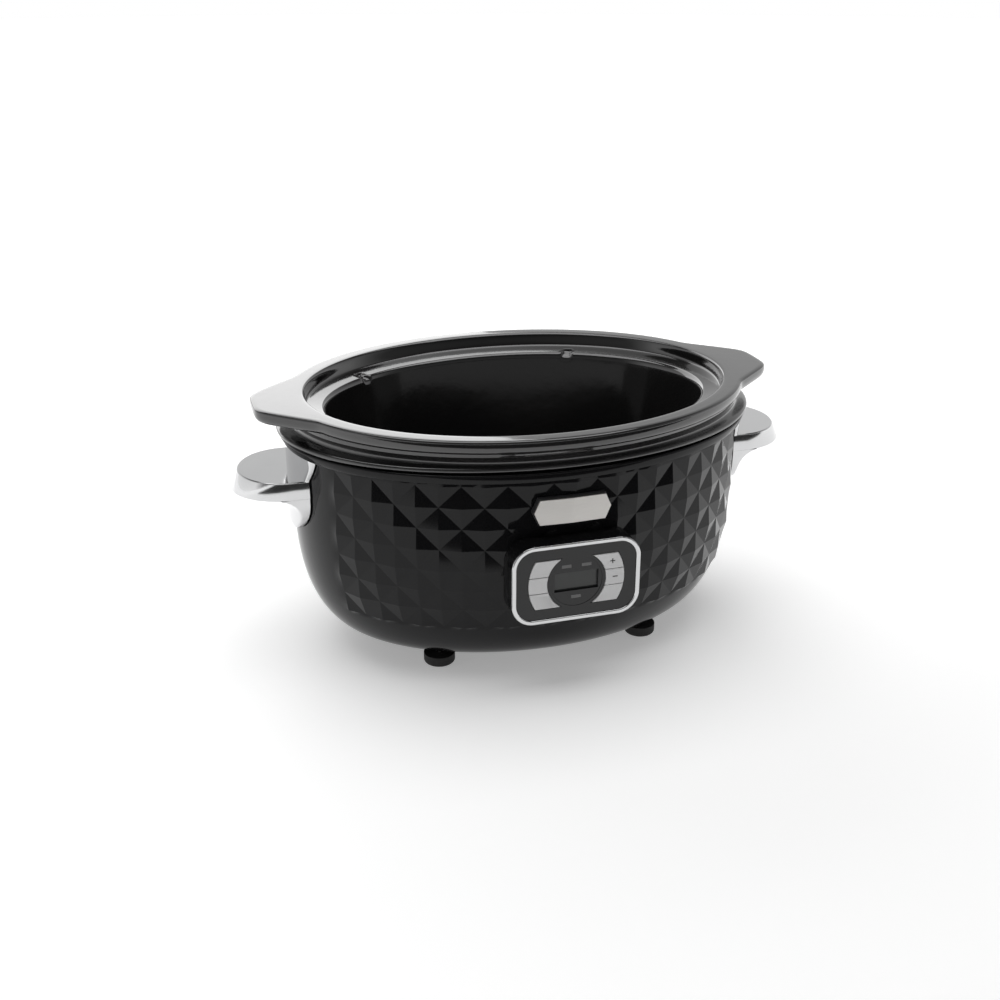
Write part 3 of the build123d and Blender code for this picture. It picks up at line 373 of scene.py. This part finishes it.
def add_piece(name, bm, slot, body, replaced=(), smooth=True):
    """Makes an object of a bmesh, finishes it, and lets it ride on a body."""
    bmesh.ops.recalc_face_normals(bm, faces=bm.faces)
    piece = make_object(name, bm, finishes[slot])
    mesh = piece.data
    if smooth:
        mesh.shade_smooth()
        mesh.set_sharp_from_angle(angle=math.radians(35))
    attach(piece, body)
    if replaced:
        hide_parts(*replaced)
    print(f"{name}: {len(mesh.polygons)} faces")
    return piece


def dressed_copy(node_name, width, segments=2):
    """A merged copy of a node with its sharp edges rounded by width."""
    bm = bmesh.new()
    bm.from_mesh(nodes[node_name].data)
    bmesh.ops.remove_doubles(bm, verts=bm.verts, dist=0.002 * MM)
    bmesh.ops.dissolve_limit(
        bm, angle_limit=math.radians(0.4), verts=bm.verts, edges=bm.edges,
        use_dissolve_boundaries=False,
    )
    body = body_of_node(node_name)
    piece = add_piece(node_name + "_skin", bm, slot_of[node_name], body, (node_name,))
    bevel = piece.modifiers.new("rounded_edges", "BEVEL")
    bevel.width = width
    bevel.segments = segments
    bevel.limit_method = "ANGLE"
    bevel.angle_limit = math.radians(40)
    bevel.harden_normals = True


# %% [markdown]
# ## A loop that rises
# The crock, the shell and the ring are all one outline that grows ring by ring.
# A circle of edges is the start. Each vertex keeps its own turn round
# the outline, so after every extrusion a rule can put it on the next ring.

# %% The rising loop
def start_loop(bm, turns):
    """A circle with one vertex for each turn; its edges and the layer of turns."""
    turn = bm.verts.layers.float.new("turn")
    column = bm.verts.layers.int.new("column")
    made = bmesh.ops.create_circle(bm, segments=len(turns), radius=1.0)
    for index, vert in enumerate(made["verts"]):
        vert[turn] = turns[index]
        vert[column] = index
    return list(bm.edges), turn, column


def place_loop(edges, rule):
    """Puts the loop's vertices where the rule says."""
    for vert in {v for edge in edges for v in edge.verts}:
        vert.co = rule(vert)


def raise_loop(bm, edges, rule):
    """Extrudes the loop once and places the new one by the rule."""
    grown = bmesh.ops.extrude_edge_only(bm, edges=edges)["geom"]
    fresh = {item for item in grown if isinstance(item, bmesh.types.BMVert)}
    loop = [
        item for item in grown
        if isinstance(item, bmesh.types.BMEdge) and all(vert in fresh for vert in item.verts)
    ]
    place_loop(loop, rule)
    return loop


def raise_through(bm, edges, rules):
    """Places the loop by the first rule, then raises it once for each of the others."""
    place_loop(edges, rules[0])
    for rule in rules[1:]:
        edges = raise_loop(bm, edges, rule)
    return edges


def softened(profile, passes=2):
    """A profile with its corners cut, twice by default, so that each becomes a curve."""
    points = [tuple(map(float, point)) for point in profile]
    for _ in range(passes):
        cut = [points[0]]
        for first, second in zip(points, points[1:]):
            cut.append(tuple(0.75 * a + 0.25 * b for a, b in zip(first, second)))
            cut.append(tuple(0.25 * a + 0.75 * b for a, b in zip(first, second)))
        cut.append(points[-1])
        points = cut
    return points


# %% [markdown]
# ## The crock
# The crock is thick stoneware: a rolled rim with a flat top, a ledge inside it where
# a lid would rest, and an ear at each end to lift it by. Its outline is an oval with
# two trapezoids for ears. The corners of the ears are round, and a soft smaller-of
# and larger-of make those roundings without a single hand-placed point.

# %% Measures of the crock
_, crock_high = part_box("crock")
rim_top = crock_high.z
ear_reach = crock_high.x
rim_half_width = crock_high.y
rim_half_length = rim_half_width + 40.5 * MM
ear_flank_angle = math.radians(49.0)
ear_flank_distance = 143.2 * MM
ear_start = math.cos(math.radians(33.0))
tip_roundness = 57
root_roundness = 260
notch_radius = 4.0 * MM
notch_turns = [math.radians(angle) for angle in (60.8, 134.2, 240.8, 314.2)]
notch_column_step = 0.0042
ledge_z = rim_top - 11.6 * MM
print("crock", round(2 * ear_reach / MM, 1), "x", round(2 * rim_half_width / MM, 1), "mm")


# %% The outline with ears, and the notches
def soft_smaller(first, second, power):
    return first * (1.0 + (first / second) ** power) ** (-1.0 / power)


def soft_larger(first, second, power):
    return first * (1.0 + (second / first) ** power) ** (1.0 / power)


def crock_point(turn, z, inset, ear, longer):
    """A point of the crock's skin. Ear is 1 where both ears stand out of the oval."""
    x = (rim_half_length - inset + longer) * math.cos(turn)
    y = (rim_half_width - inset) * math.sin(turn)
    reach = math.hypot(x, y)
    along, across = abs(x) / reach, abs(y) / reach
    tip = (ear_reach - inset) / max(along, 0.01)
    flank = (ear_flank_distance - inset) / (
        math.cos(ear_flank_angle) * along + math.sin(ear_flank_angle) * across
    )
    if along < ear_start:
        return Vector((x, y, z))
    with_ears = soft_larger(reach, soft_smaller(tip, flank, tip_roundness), root_roundness)
    grow = 1.0 + ear * (with_ears / reach - 1.0)
    return Vector((x * grow, y * grow, z))


def notch_depth(turn, z):
    """How far a notch cuts outwards into the ledge's inner edge here."""
    deepest = 0.0
    for notch in notch_turns:
        off = abs(math.remainder(turn - notch, math.tau)) * rim_half_width
        if off < notch_radius:
            deepest = math.sqrt(notch_radius**2 - off**2)
    near = max(0.0, 1.0 - abs(z - ledge_z) / (4.0 * MM))
    return deepest * min(1.0, 2.0 * near)


# %% The profile: up outside, over the rim, down inside
# Each row: height below the rim's top, inset from the rim's oval, share of the ear, and
# how much further the oval's ends reach than its sides.
crock_profile = [
    (150.4, 80.0, 0, 0), (150.4, 54.0, 0, 0), (149.4, 50.0, 0, 0), (140.4, 45.5, 0, 0),
    (120.4, 38.0, 0, 0), (60.0, 29.5, 0, 0), (26.0, 23.3, 0, 0), (24.8, 22.0, 0, 0),
    (24.8, 20.0, 0, 4), (24.8, 9.6, 0, 12.8), (24.2, 7.0, 0, 13.4), (22.8, 5.9, 0, 13),
    (20.9, 6.3, 0, 12.8), (19.6, 8.6, 0, 9), (18.4, 9.0, 0, 6), (15.6, 7.8, 0, 4),
    (12.6, 5.4, 0, 2), (9.9, 4.0, 0, 0), (9.9, 3.2, 1, 0), (8.2, 0.9, 1, 0),
    (5.4, 0.0, 1, 0), (2.6, 0.0, 1, 0), (0.5, 0.4, 1, 0), (0.0, 2.6, 1, 0),
    (0.0, 5.0, 1, 0), (0.0, 10.0, 0, -2.5), (0.3, 12.0, 0, -2), (1.8, 13.6, 0, -1),
    (8.0, 16.4, 0, 1.5), (9.6, 17.6, 0, 2), (10.0, 19.4, 0, 2.5), (11.6, 27.6, 0, 2.5),
    (12.0, 30.2, 0, 2.5), (13.8, 31.8, 0, 2), (18.0, 32.4, 0, 1.5), (60.0, 38.0, 0, 0),
    (118.4, 47.5, 0, 0), (134.4, 53.0, 0, 0), (140.6, 61.0, 0, 0), (142.4, 74.0, 0, 0),
    (142.4, 100.0, 0, 0),
]
columns_round = 384
round_turns = [step / columns_round * math.tau for step in range(columns_round)]
notch_columns = [
    notch + side * notch_column_step * step
    for notch in notch_turns for step in range(1, 8) for side in (-1, 1)
]
crock_turns = sorted(round_turns + notch_columns)
print("crock profile rows:", len(crock_profile), "columns:", len(crock_turns))


# %% Raise the crock
def crock_rule(turn, below, inset, ear, longer):
    """The rule of one ring; the notches only cut the ledge's inner edge."""
    z = rim_top - below * MM

    def rule(vert):
        cut = notch_depth(vert[turn], z) if inset > 25 and below < 20 else 0.0
        return crock_point(vert[turn], z, inset * MM - cut, ear, longer * MM)

    return rule


def make_crock():
    bm = bmesh.new()
    first, turn, _ = start_loop(bm, crock_turns)
    rules = [crock_rule(turn, *row) for row in softened(crock_profile)]
    last = raise_through(bm, first, rules)
    bmesh.ops.contextual_create(bm, geom=first)
    bmesh.ops.contextual_create(bm, geom=last)
    return add_piece("stoneware_crock", bm, "black_stoneware", "crock", ("crock",), False)


crock = make_crock()
crock.data.shade_smooth()

# %% [markdown]
# ## The shell
# The front and back of the shell are pressed into a net of low pyramids, about as wide
# as a thumb, that stop in a straight line above the belly and fade out before the
# handles. On a net of equal steps, every second crossing is raised. Cutting each mesh
# of the net along the line that joins its two low corners gives four flat faces
# round each raised point, which is exactly what the mould does.

# %% Measures of the shell
shell_low, shell_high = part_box("housing_shell")
body_half_length = shell_high.x
body_half_width = -shell_low.y
body_top = shell_high.z
knee_z = 110.0 * MM
belly_bottom = 8.5 * MM
belly_depth = 50.0 * MM
wall = 2.5 * MM
opening_inset = 62.0 * MM
net_top = 156.0 * MM
net_cap = 158.4 * MM
net_rows = 7
net_shift = 3.4 * MM
net_half_count = 11
cuts = 4
raised_by = 1.25 * MM
sunk_by = 0.45 * MM
belly_steps = 30
inner_steps = 10


# %% Equal steps round the oval
def equal_turns(count, half_length, half_width, start):
    """Turns of count points spaced equally along an oval, the first this far from its front."""
    fine = np.linspace(-math.pi / 2, 1.5 * math.pi, 20001)
    x = half_length * np.cos(fine)
    y = half_width * np.sin(fine)
    run = np.concatenate([[0.0], np.cumsum(np.hypot(np.diff(x), np.diff(y)))])
    places = (start + np.arange(count) / count * run[-1]) % run[-1]
    return np.interp(places, run, fine), run[-1]


shell_columns = 238
shell_turns, round_length = equal_turns(
    shell_columns, body_half_length, body_half_width, net_shift
)
column_step = round_length / shell_columns
net_step = cuts * column_step
print("net step", round(net_step / MM, 2), "of", round(round_length / MM, 1), "mm round")


# %% The smooth shell
def belly_drop(share):
    """How far down the belly a ring is: 1 at the bottom, for share 0, and 0 at the knee."""
    return math.cos(share * math.pi / 2) ** 0.8


def belly_inset(z):
    """How far the wall has curved in at this height: none above the knee."""
    drop = min(1.0, max(0.0, (knee_z - z) / (knee_z - belly_bottom)))
    return belly_depth * (1.0 - (1.0 - drop**2.5) ** (1 / 2.2))


def shell_point(turn, z, inset, proud=0.0):
    """A point of the shell, pushed out square to the oval by proud."""
    x = (body_half_length - inset) * math.cos(turn)
    y = (body_half_width - inset) * math.sin(turn)
    out = Vector((math.cos(turn) / body_half_length, math.sin(turn) / body_half_width, 0.0))
    return Vector((x, y, z)) + out.normalized() * proud


# %% The net on it
def net_column(column):
    """The column's place in its own net, counted in cuts from the net's middle, or None."""
    half = shell_columns // 2
    place = (column + half // 2) % half - half // 2
    return place if abs(place) <= net_half_count * cuts else None


def net_corner(across, down, half_turn):
    """A crossing of the net; every second one is raised."""
    turn = shell_turns[(across * cuts + half_turn) % shell_columns]
    z = net_top - down * net_step
    proud = raised_by if (across + down) % 2 == 0 else -sunk_by
    return shell_point(turn, z, belly_inset(z), proud)


def net_point(place, row, half_turn):
    """A point on the flat face that covers this place of the net."""
    across, down = place // cuts, row // cuts
    u, v = place / cuts - across, row / cuts - down
    if u == 0 and v == 0:
        return net_corner(across, down, half_turn)
    near, right, below, far = [
        net_corner(across + i, down + j, half_turn) for j in (0, 1) for i in (0, 1)
    ]
    if (across + down) % 2:
        if u > v:
            return near + u * (right - near) + v * (far - right)
        return near + v * (below - near) + u * (far - below)
    if u + v < 1:
        return near + u * (right - near) + v * (below - near)
    return far + (1 - u) * (below - far) + (1 - v) * (right - far)


# %% The shell's rings
def shell_rules(turn, column):
    """The rings before the net, the net's own rings from its foot up, and those after."""
    def smooth_rule(z, inset):
        return lambda vert: shell_point(vert[turn], z, inset)

    def net_rule(row, cap=None):
        z = net_top - row * net_step / cuts

        def rule(vert):
            place = net_column(vert[column])
            if place is None:
                point = shell_point(vert[turn], z, belly_inset(z))
            else:
                point = net_point(place, row, (vert[column] - place) % shell_columns)
            return Vector((point.x, point.y, cap)) if cap else point

        return rule

    belly = knee_z - belly_bottom
    net_bottom = net_top - net_rows * net_step
    heights = [knee_z - belly_drop(step / belly_steps) * belly for step in range(belly_steps)]
    heights = [z for z in heights if z <= net_bottom - 1.5 * MM] + [net_bottom - 0.6 * MM]
    before = [smooth_rule(z, opening_inset) for z in (belly_bottom + wall, belly_bottom)]
    before += [smooth_rule(z, belly_inset(z)) for z in heights]
    net = [net_rule(row) for row in range(net_rows * cuts, -1, -1)]
    after = [net_rule(0, net_cap), smooth_rule(net_cap + 0.1 * MM, 0.0)]
    after += [smooth_rule(body_top, 0.0), smooth_rule(body_top, wall), smooth_rule(knee_z, wall)]
    for step in range(inner_steps - 1, 0, -1):
        drop = belly_drop(step / inner_steps)
        z = knee_z - drop * belly
        after.append(smooth_rule(z + wall * drop, belly_inset(z) + wall))
    after.append(smooth_rule(belly_bottom + wall, belly_depth + wall))
    after.append(smooth_rule(belly_bottom + wall, opening_inset))
    return before, net, after


# %% Raise the shell
def raise_shell(bm):
    """Raises the shell and notes each face of the net with its place and row."""
    edges, turn, column = start_loop(bm, shell_turns)
    before, net, after = shell_rules(turn, column)
    edges = raise_through(bm, edges, before)
    net_faces = []
    for index, rule in enumerate(net):
        edges = raise_loop(bm, edges, rule)
        row = len(net) - 1 - index
        for edge in edges if index else ():
            places = [net_column(vert[column]) for vert in edge.verts]
            if None not in places and abs(places[0] - places[1]) == 1:
                net_faces.append((edge.link_faces[0], min(places), row))
    for rule in after:
        edges = raise_loop(bm, edges, rule)
    return net_faces, column


# %% Cut the net's meshes
def cut_net(net_faces, column):
    """Splits the faces that a fold of the net crosses; gives all the net's faces."""
    def along(vert):
        return net_column(vert[column])

    flat = set()
    for face, place, row in net_faces:
        falling = (place // cuts + row // cuts) % 2 == 1
        i, j = place % cuts, row % cuts
        flat.add(face)
        folded = i == j if falling else i + j == cuts - 1
        if folded:
            corners = sorted(face.verts, key=lambda vert: (-vert.co.z, along(vert)))
            upper, lower = sorted(corners[:2], key=along), sorted(corners[2:], key=along)
            pair = (upper[0], lower[1]) if falling else (upper[1], lower[0])
            flat.add(bmesh.utils.face_split(face, *pair)[0])
    return flat


def make_shell():
    bm = bmesh.new()
    flat = cut_net(*raise_shell(bm))
    bmesh.ops.remove_doubles(bm, verts=bm.verts, dist=0.001 * MM)
    for face in bm.faces:
        face.smooth = face not in flat
    for edge in bm.edges:
        folded = any(not face.smooth for face in edge.link_faces)
        edge.smooth = not folded and edge.calc_face_angle(0.0) <= math.radians(35)
    return add_piece("faceted_shell", bm, "black_shell", "base", ("housing_shell",), False)


make_shell()

# %% [markdown]
# ## The ring between shell and crock
# A black ring caps the shell and carries the well. Only its rounded outer edge shows,
# as one thin line of light, so that edge gets several rings of its own.

# %% Measures of the ring
ring_low, ring_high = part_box("top_ring")
well_flange = 8.0 * MM
flange_sunk = 1.2 * MM
ring_edge = 1.5 * MM
ring_inner_length = rim_half_length - 18.2 * MM
ring_inner_width = rim_half_width - 18.2 * MM
body_gap = 0.3 * MM


def ring_rows():
    """The ring's section as rows of height, half-length and half-width."""
    # Height, inset, and how much more the ends are set in than the sides.
    outer = [
        (ring_low.z, 0.5 * MM, 2.4 * MM),
        (ring_low.z + 0.3 * MM, 0.1 * MM, 2.3 * MM),
        (ring_low.z + 0.8 * MM, 0.0, 2.1 * MM),
    ]
    for a in np.linspace(0, math.pi / 2, 6):
        z = ring_high.z - ring_edge * (1 - math.sin(a))
        outer.append((z, ring_edge * (1 - math.cos(a)), 0.0))
    rows = [(z, ring_high.x - inset - end, ring_high.y - inset) for z, inset, end in outer]
    flange = (ring_inner_length + well_flange, ring_inner_width + well_flange)
    inner = (ring_inner_length, ring_inner_width)
    body = (body_half_length + body_gap, body_half_width + body_gap)
    flange_z = ring_high.z - flange_sunk
    rows += [(ring_high.z, *flange), (flange_z, *flange), (flange_z, *inner)]
    rows += [(body_top, *inner), (body_top, *body), (ring_low.z, *body)]
    return rows + rows[:1]


# %% Raise the ring
def make_ring():
    bm = bmesh.new()
    edges, turn, _ = start_loop(bm, round_turns)

    def ring_rule(z, half_length, half_width):
        return lambda vert: Vector(
            (half_length * math.cos(vert[turn]), half_width * math.sin(vert[turn]), z)
        )

    raise_through(bm, edges, [ring_rule(*row) for row in ring_rows()])
    bmesh.ops.remove_doubles(bm, verts=bm.verts, dist=0.001 * MM)
    return add_piece("capping_ring", bm, "black_shell", "base", ("top_ring",))


make_ring()

# %% [markdown]
# ## The handles
# A handle is two rising loops that run into each other. One is the plate: a D that grows
# towards its underside. The other is the pad behind it: a U below the plate, a flare
# above, and between them a cove where the pad swells out to carry the plate.

# %% Measures of a handle
pad_low, pad_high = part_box("handle_right")
plate_top = 141.0 * MM
plate_low = 127.5 * MM
pad_spring = 123.5 * MM
pad_gap = 1.1 * MM
pad_thickness = 3.7 * MM
pad_half_width = 36.5 * MM
plate_reach = 39.5 * MM
plate_draft = 6.0 * MM
plate_side_draft = 0.4 * MM
plate_tip_length = 34.0 * MM
plate_straight = body_half_length + plate_reach - plate_tip_length
flare_half_width = pad_high.y
edge_radius = 0.9 * MM
# How deep below the plate, and how far off the shell the pad's face stands there.
cove = softened(
    [(0, 20), (1.8, 15.1), (4.6, 10.8), (9.2, 7.6), (14, 6.1), (22, 5.2), (28.5, 5), (32.5, 2.4)]
)
cove_depths = [depth * MM for depth, _ in cove]
cove_reaches = [reach * MM for _, reach in cove]


# %% The two outlines
def beside_shell(y, off):
    """How far out the shell's oval is at y, moved off it."""
    return (body_half_length + off) * math.sqrt(1.0 - (y / (body_half_width + off)) ** 2)


def plate_outline(half_width, tip):
    """The D: a flank, the round end, the other flank, and back along the shell."""
    start = beside_shell(half_width, pad_gap)
    points = [(x, -half_width) for x in np.linspace(start, plate_straight, 7)[:-1]]
    for angle in np.linspace(-math.pi / 2, math.pi / 2, 61):
        reach = plate_straight + (tip - plate_straight) * math.cos(angle)
        points.append((reach, half_width * math.sin(angle)))
    points += [(x, half_width) for x in np.linspace(plate_straight, start, 7)[1:]]
    back = np.linspace(half_width, -half_width, 20)[1:-1]
    return points + [(beside_shell(y, pad_gap), y) for y in back]


def pad_row(z):
    """The pad's section at a height: its half-width and how far its face stands off."""
    if z > plate_top:
        share = (z - plate_top) / (pad_high.z - plate_top)
        flare = (flare_half_width - pad_half_width) * (1 - (1 - share) ** 1.5)
        return pad_half_width + flare, pad_thickness
    sunk = max(0.0, (pad_spring - z) / (pad_spring - pad_low.z))
    half_width = pad_half_width * math.sqrt(max(0.0, 1.0 - min(sunk, 0.9995) ** 2))
    if z > plate_low:
        return half_width, pad_thickness
    return half_width, float(np.interp(plate_low - z, cove_depths, cove_reaches))


def pad_outline(z):
    """The pad's closed outline at a height, its outer corners rounded."""
    half_width, off = pad_row(z)
    corner = min(edge_radius, 0.4 * half_width, 0.8 * (off - pad_gap))
    cut = 0.29 * corner
    side = [(half_width, pad_gap), (half_width, off - corner), (half_width - cut, off - cut)]
    face = [(y, off) for y in np.linspace(half_width - corner, corner - half_width, 25)]
    far_side = [(-y, out) for y, out in reversed(side)]
    back = [(y, pad_gap) for y in np.linspace(-half_width, half_width, 12)[1:-1]]
    return [(beside_shell(y, out), y) for y, out in side + face + far_side + back]


# %% Rings of the plate and of the pad
def plate_rings():
    """The plate's outlines from its underside up, its edges rounded at both."""
    rounding = [
        (rise * MM, inset * MM)
        for rise, inset in ((0, 0.9), (0.07, 0.5), (0.26, 0.26), (0.5, 0.07), (0.9, 0.0))
    ]
    thickness = plate_top - plate_low
    rings = []
    for rise, inset in rounding + [(thickness - rise, inset) for rise, inset in reversed(rounding)]:
        share = 1.0 - rise / thickness
        half_width = pad_half_width + plate_side_draft * share - inset
        tip = body_half_length + plate_reach + plate_draft * share - inset
        rings.append((plate_low + rise, plate_outline(half_width, tip)))
    return rings


def pad_rings():
    """The pad's outlines from its lowest point up, closer together in the cove."""
    heights = list(np.linspace(0.0, 1.0, 13) ** 2 * 14.0 * MM + pad_low.z)
    depths = (16, 13, 10.5, 8.5, 7, 5.6, 4.4, 3.3, 2.4, 1.6, 0.9, 0.4, 0)
    heights += [plate_low - depth * MM for depth in depths]
    heights += [plate_low + 0.6 * MM, plate_top]
    heights += list(np.linspace(plate_top, pad_high.z, 9)[1:])
    return [(z, pad_outline(z)) for z in heights]


# %% Raise a handle at each end
def raise_outlines(bm, outlines, side):
    """One closed solid through outlines, given as (height, points), for one end."""
    made = bmesh.ops.create_circle(bm, segments=len(outlines[0][1]), radius=1.0)["verts"]
    first = list({edge for vert in made for edge in vert.link_edges})
    index = bm.verts.layers.int["column"]
    for number, vert in enumerate(made):
        vert[index] = number

    def outline_rule(z, points):
        def rule(vert):
            x, y = points[vert[index]]
            return Vector((side * x, y, z))

        return rule

    last = raise_through(bm, first, [outline_rule(*outline) for outline in outlines])
    caps = bmesh.ops.contextual_create(bm, geom=first)["faces"]
    return caps + bmesh.ops.contextual_create(bm, geom=last)["faces"]


def make_handle(hand, side):
    bm = bmesh.new()
    bm.verts.layers.int.new("column")
    caps = raise_outlines(bm, plate_rings(), side) + raise_outlines(bm, pad_rings(), side)
    for face in bm.faces:
        face.smooth = face not in caps
    for edge in bm.edges:
        edge.smooth = edge.calc_face_angle(0.0) < math.radians(50)
    node = "handle_" + hand
    return add_piece("chrome_" + node, bm, "chrome_trim", "base", (node,), False)


handle_pieces = [make_handle("left", -1), make_handle("right", 1)]

# %% [markdown]
# ## Smaller pieces
# The panel, badge, keys and feet are flat or simply curved, so a merged copy
# with rounded edges is enough. The width of each rounding is what the eye reads as
# moulded plastic, cast metal or rubber.

# %% Keys and the panel's frame
for key in ("power", "mode", "delay", "plus", "minus", "enter"):
    dressed_copy("button_" + key, 0.25 * MM)
dressed_copy("panel_frame", 0.5 * MM, 3)


# %% The signs on two keys
sign_x = {"plus": 25.6 * MM, "minus": 27.8 * MM}
sign_thickness = 0.12 * MM
sign_sunk = 0.02 * MM


def raise_sign(key, bars):
    """Thin raised bars on a key, each given as (width, height) in millimetres."""
    low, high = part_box("button_" + key)
    middle = Vector((sign_x[key], low.y - sign_sunk, (low.z + high.z) / 2))
    bm = bmesh.new()
    for width, height in bars:
        made = bmesh.ops.create_cube(bm, size=1.0)["verts"]
        bmesh.ops.scale(bm, verts=made, vec=(width * MM, sign_thickness, height * MM))
        bmesh.ops.translate(bm, verts=made, vec=middle)
    return add_piece(key + "_mark", bm, "part_black", key + "_button", (), False)


raise_sign("plus", [(3.6, 0.7), (0.7, 3.6)])
raise_sign("minus", [(3.6, 0.7)])

# %% Pod, badge and feet
dressed_copy("panel_pod", 0.5 * MM)
dressed_copy("badge", 0.2 * MM)
for corner in ("rear_left", "front_left", "rear_right", "front_right"):
    dressed_copy("foot_" + corner, 0.3 * MM)

# %% [markdown]
# ## The table, the lights and the camera
# The cooker is nearly all mirror, so the studio is really modelled for its
# reflections. A broad light behind the cooker whitens the rim; chrome would burn out
# in it, so it is kept off the handles. The table glows faintly, and more so far away,
# where it runs into the white of the room. A dark cloth in front, which only
# reflections see, gives the black pyramids their contrast.

# %% Table
def grey(value):
    return rgb(value, value, value)


def white_table():
    """Pale paper that glows a little near the cooker and more far away."""
    paint = Finish("table_paper")
    paper = paint.noise(400.0, 3.0)
    paint.set(Base_Color=paint.mix(paper, grey(0.88), grey(0.92)), Roughness=0.75)
    paint.bump(paper, 0.00002)
    place = paint.node("ShaderNodeTexCoord", {}, {}).outputs["Object"]
    length = paint.node("ShaderNodeVectorMath", {"operation": "LENGTH"}, {0: place})
    far = paint.node(
        "ShaderNodeMapRange", {},
        {"Value": length.outputs["Value"], "From Min": 0.5, "From Max": 2.6},
    )
    glow = paint.mix(far.outputs["Result"], grey(0.30), grey(0.92))
    paint.set(Emission_Color=glow, Emission_Strength=1.0)
    bm = bmesh.new()
    bmesh.ops.create_circle(bm, cap_ends=True, segments=128, radius=9.0)
    make_object("table", bm, paint.material)


white_table()


# %% A dark cloth that only reflections see
def dark_cloth():
    cloth = Finish("cloth_black")
    weave = cloth.noise(900.0, 2.0)
    cloth.set(Base_Color=cloth.mix(weave, grey(0.006), grey(0.012)), Roughness=0.95)
    bm = bmesh.new()
    bmesh.ops.create_grid(bm, x_segments=1, y_segments=1, size=1.0)
    bmesh.ops.scale(bm, verts=bm.verts, vec=(1.4, 1.0, 1.0))
    bmesh.ops.translate(bm, verts=bm.verts, vec=(0.0, -1.46, 0.002))
    piece = make_object("dark_cloth", bm, cloth.material)
    piece.visible_camera = False
    piece.visible_diffuse = False
    piece.visible_shadow = False


dark_cloth()


# %% Lights
def area_light(name, place, target, size, power):
    """A rectangle of light, aimed, that the camera doesn't see."""
    data = bpy.data.lights.new(name, "AREA")
    data.shape = "RECTANGLE"
    data.size, data.size_y = size
    data.energy = power
    light = bpy.data.objects.new(name, data)
    bpy.context.scene.collection.objects.link(light)
    light.location = place
    aim = Vector(target) - Vector(place)
    light.rotation_euler = aim.to_track_quat("-Z", "Y").to_euler()
    light.visible_camera = False
    print(name, power, "W")
    return light


softbox = area_light("back_softbox", (-0.27, 1.1, 0.73), (0.0, 0.0, 0.12), (1.35, 0.9), 7.4)
area_light("overhead", (0.0, 0.1, 2.2), (0.0, 0.0, 0.0), (2.4, 2.0), 34.0)


# %% Keep the softbox off the handles
def keep_off(light, pieces):
    """Chrome would burn out in a light that glaze only just mirrors, so it is left out."""
    flag = bpy.data.collections.new("kept_from_" + light.name)
    for piece in pieces:
        flag.objects.link(piece)
    for item in flag.collection_objects:
        item.light_linking.link_state = "EXCLUDE"
    light.light_linking.receiver_collection = flag


keep_off(softbox, handle_pieces)


# %% The room's own light
def room_light():
    """White to the camera. To everything else: bright low down, dark above and in front."""
    world = bpy.data.worlds.new("studio")
    bpy.context.scene.world = world
    world.use_nodes = True
    room = Wiring(world.node_tree)
    direction = room.node("ShaderNodeTexCoord", {}, {}).outputs["Generated"]
    parts = room.node("ShaderNodeSeparateXYZ", {}, {"Vector": direction}).outputs

    def shade(axis, lowest, stops):
        """A grey that changes as the direction turns along an axis."""
        lean = room.node(
            "ShaderNodeMapRange", {}, {"Value": parts[axis], "From Min": lowest}
        )
        stops = [(place, grey(value)) for place, value in stops]
        ramp = room.node("ShaderNodeValToRGB", {"stops": stops}, {"Fac": lean.outputs["Result"]})
        return ramp.outputs["Color"]

    upward = shade("Z", 0.0, [(0.0, 1.0), (0.25, 0.8), (0.5, 0.55), (0.7, 0.12), (1.0, 0.06)])
    backward = shade("Y", -1.0, [(0.0, 0.25), (0.25, 0.25), (0.4, 1.0)])
    both = room.node(
        "ShaderNodeMix", {"data_type": "RGBA", "blend_type": "MULTIPLY"},
        {0: 1.0, 6: upward, 7: backward},
    )
    seen = room.node("ShaderNodeLightPath", {}, {}).outputs["Is Camera Ray"]
    colour = room.mix(seen, both.outputs[2], grey(1.0))
    room.feed(room.tree.nodes["Background"].inputs["Color"], colour)
    bpy.context.scene.view_settings.view_transform = "Standard"


room_light()


# %% Camera
def aim_camera():
    data = bpy.data.cameras.new("camera")
    data.lens = 47.2
    data.sensor_width = 36.0
    data.clip_start = 0.01
    data.clip_end = 40.0
    camera = bpy.data.objects.new("camera", data)
    bpy.context.scene.collection.objects.link(camera)
    camera.location = (-0.2778, -0.8873, 0.4890)
    target = Vector((-0.0151, -0.0073, 0.0969))
    camera.rotation_euler = (target - camera.location).to_track_quat("-Z", "Y").to_euler()
    bpy.context.scene.camera = camera


aim_camera()
